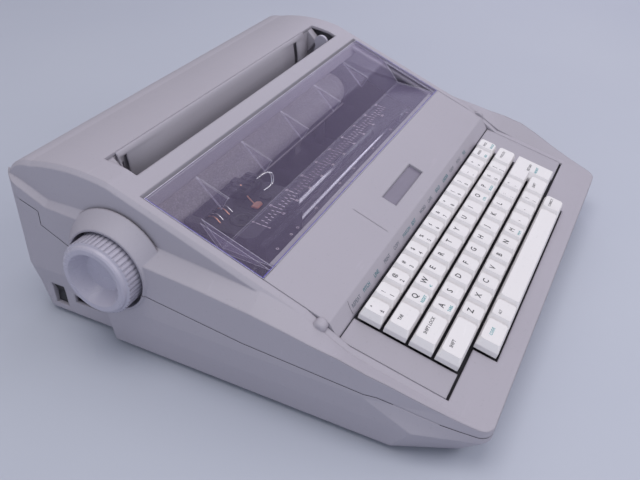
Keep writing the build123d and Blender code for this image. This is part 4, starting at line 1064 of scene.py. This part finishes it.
# %% Lift wires and loom
lever_x, lever_radius = carriage_x + 0.0345, 0.00055
levers = ((0.0, 0.011), (0.003, 0.0095))
for i, (lean, reach) in enumerate(levers):
    lever_path = placed((lever_x + lean, solenoid_y, lid), (
        (-0.010, -0.004, 0.0008), (-0.003, -0.006, 0.0012), (0.0, -0.006, 0.0040),
        (0.0015, -0.004, reach), (-0.002, -0.001, reach + 0.0012), (-0.008, 0.003, 0.0080)))
    lever = wire(f"lift_wire_{i + 1}", lever_path, lever_radius)
    settle(lever, wire_steel, "print_carriage")

loom_x, loom_pitch, loom_radius = carriage_x - 0.030, 0.0042, 0.0005
loom_finishes = (copper, wire_steel, cassette_black, copper, wire_steel)
for i, finish in enumerate(loom_finishes):
    loom_path = placed((loom_x + i * loom_pitch, solenoid_y, lid), (
        (0.0, 0.001, 0.0004), (0.001, 0.005, 0.0028), (0.003, 0.010, 0.0022),
        (0.0045, 0.014, -0.0006)))
    loom_wire = wire(f"loom_wire_{i + 1}", loom_path, loom_radius)
    settle(loom_wire, finish, "print_carriage")
print("lift wires:", len(levers), "wires in the loom:", len(loom_finishes))

# %% [markdown]
# ## The floor
# The machine stands on a large pale sheet. It is plain, but no real surface has one single
# colour, so a broad noise shifts it a little and a fine one gives it some tooth.

# %% Floor
floor_reach = 6.0
floor_finish = Finish("floor_pale", (0.45, 0.47, 0.55), 0.7)
floor_tone = floor_finish.noise(scale=2.2, detail=4.0)
floor_colour = floor_finish.blend(floor_tone, (0.45, 0.475, 0.56), (0.51, 0.535, 0.60))
floor_finish.feed("Base Color", floor_colour)
floor_finish.bump(floor_finish.noise(scale=900.0, detail=3.0), 0.1, 0.0002)
floor_mesh = bpy.data.meshes.new("floor")
corners = [(x, y, 0) for x, y in block(-floor_reach, floor_reach, -floor_reach, floor_reach)]
floor_mesh.from_pydata(corners, [], [(0, 1, 2, 3)])
floor_mesh.materials.append(floor_finish.material)
floor = bpy.data.objects.new("floor", floor_mesh)
bpy.context.collection.objects.link(floor)
print("floor is", 2 * floor_reach, "metres wide")

# %% [markdown]
# ## The studio light
# The photograph's light is soft and comes from above, a little from the left: the knob throws
# its shadow down the side of the case. One large lamp hangs there, weaker ones lift the front
# and the left flank, and a pale world fills the shadows. Two more lamps stand far to the right,
# where only the cover mirrors them: a smoked sheet looks clear and flat until it shows such a
# sheen. The table gives each lamp's place, the point it faces, its side, its watts and colour.

# %% Lamps and world
lamps = {
    "main_softbox": ((-0.5, 0.0, 2.1), (0.0, 0.0, 0.05), 1.3, 15.5, (1.0, 0.97, 0.96)),
    "front_fill": ((0.5, -1.7, 1.4), (0.0, 0.0, 0.05), 1.4, 15.0, (0.97, 0.96, 1.0)),
    "left_fill": ((-1.9, -0.5, 0.9), (0.0, 0.0, 0.05), 1.4, 7.5, (0.72, 0.82, 1.0)),
    "right_sheen": ((2.0, 0.45, 0.95), (0.05, 0.0, 0.09), 1.1, 5.0, (0.80, 0.78, 1.0)),
    "high_sheen": ((1.7, -0.25, 1.6), (0.0, 0.05, 0.11), 1.4, 4.0, (0.86, 0.82, 1.0)),
}
for name, (place, aim, size, power, colour) in lamps.items():
    data = bpy.data.lights.new(name, "AREA")
    data.size = size
    data.energy = power
    data.color = colour
    holder = bpy.data.objects.new(name, data)
    bpy.context.collection.objects.link(holder)
    holder.location = place
    turn = (Vector(aim) - Vector(place)).to_track_quat("-Z", "Y")
    holder.rotation_euler = turn.to_euler()

world = bpy.data.worlds.new("studio_world")
world.use_nodes = True
background = world.node_tree.nodes["Background"]
background.inputs["Color"].default_value = (0.90, 0.91, 1.0, 1.0)
background.inputs["Strength"].default_value = 0.42
bpy.context.scene.world = world
bpy.context.scene.view_settings.view_transform = "Standard"
print("lamps:", len(lamps))

# %% [markdown]
# ## Sizes, and the last line
# The size of the model's box, taken before anything was added, is printed
# as the last line. The dressed machine must not be larger than the model.

# %% Sizes and the last line
print("the model measures", [round(side, 4) for side in model_box[1] - model_box[0]])
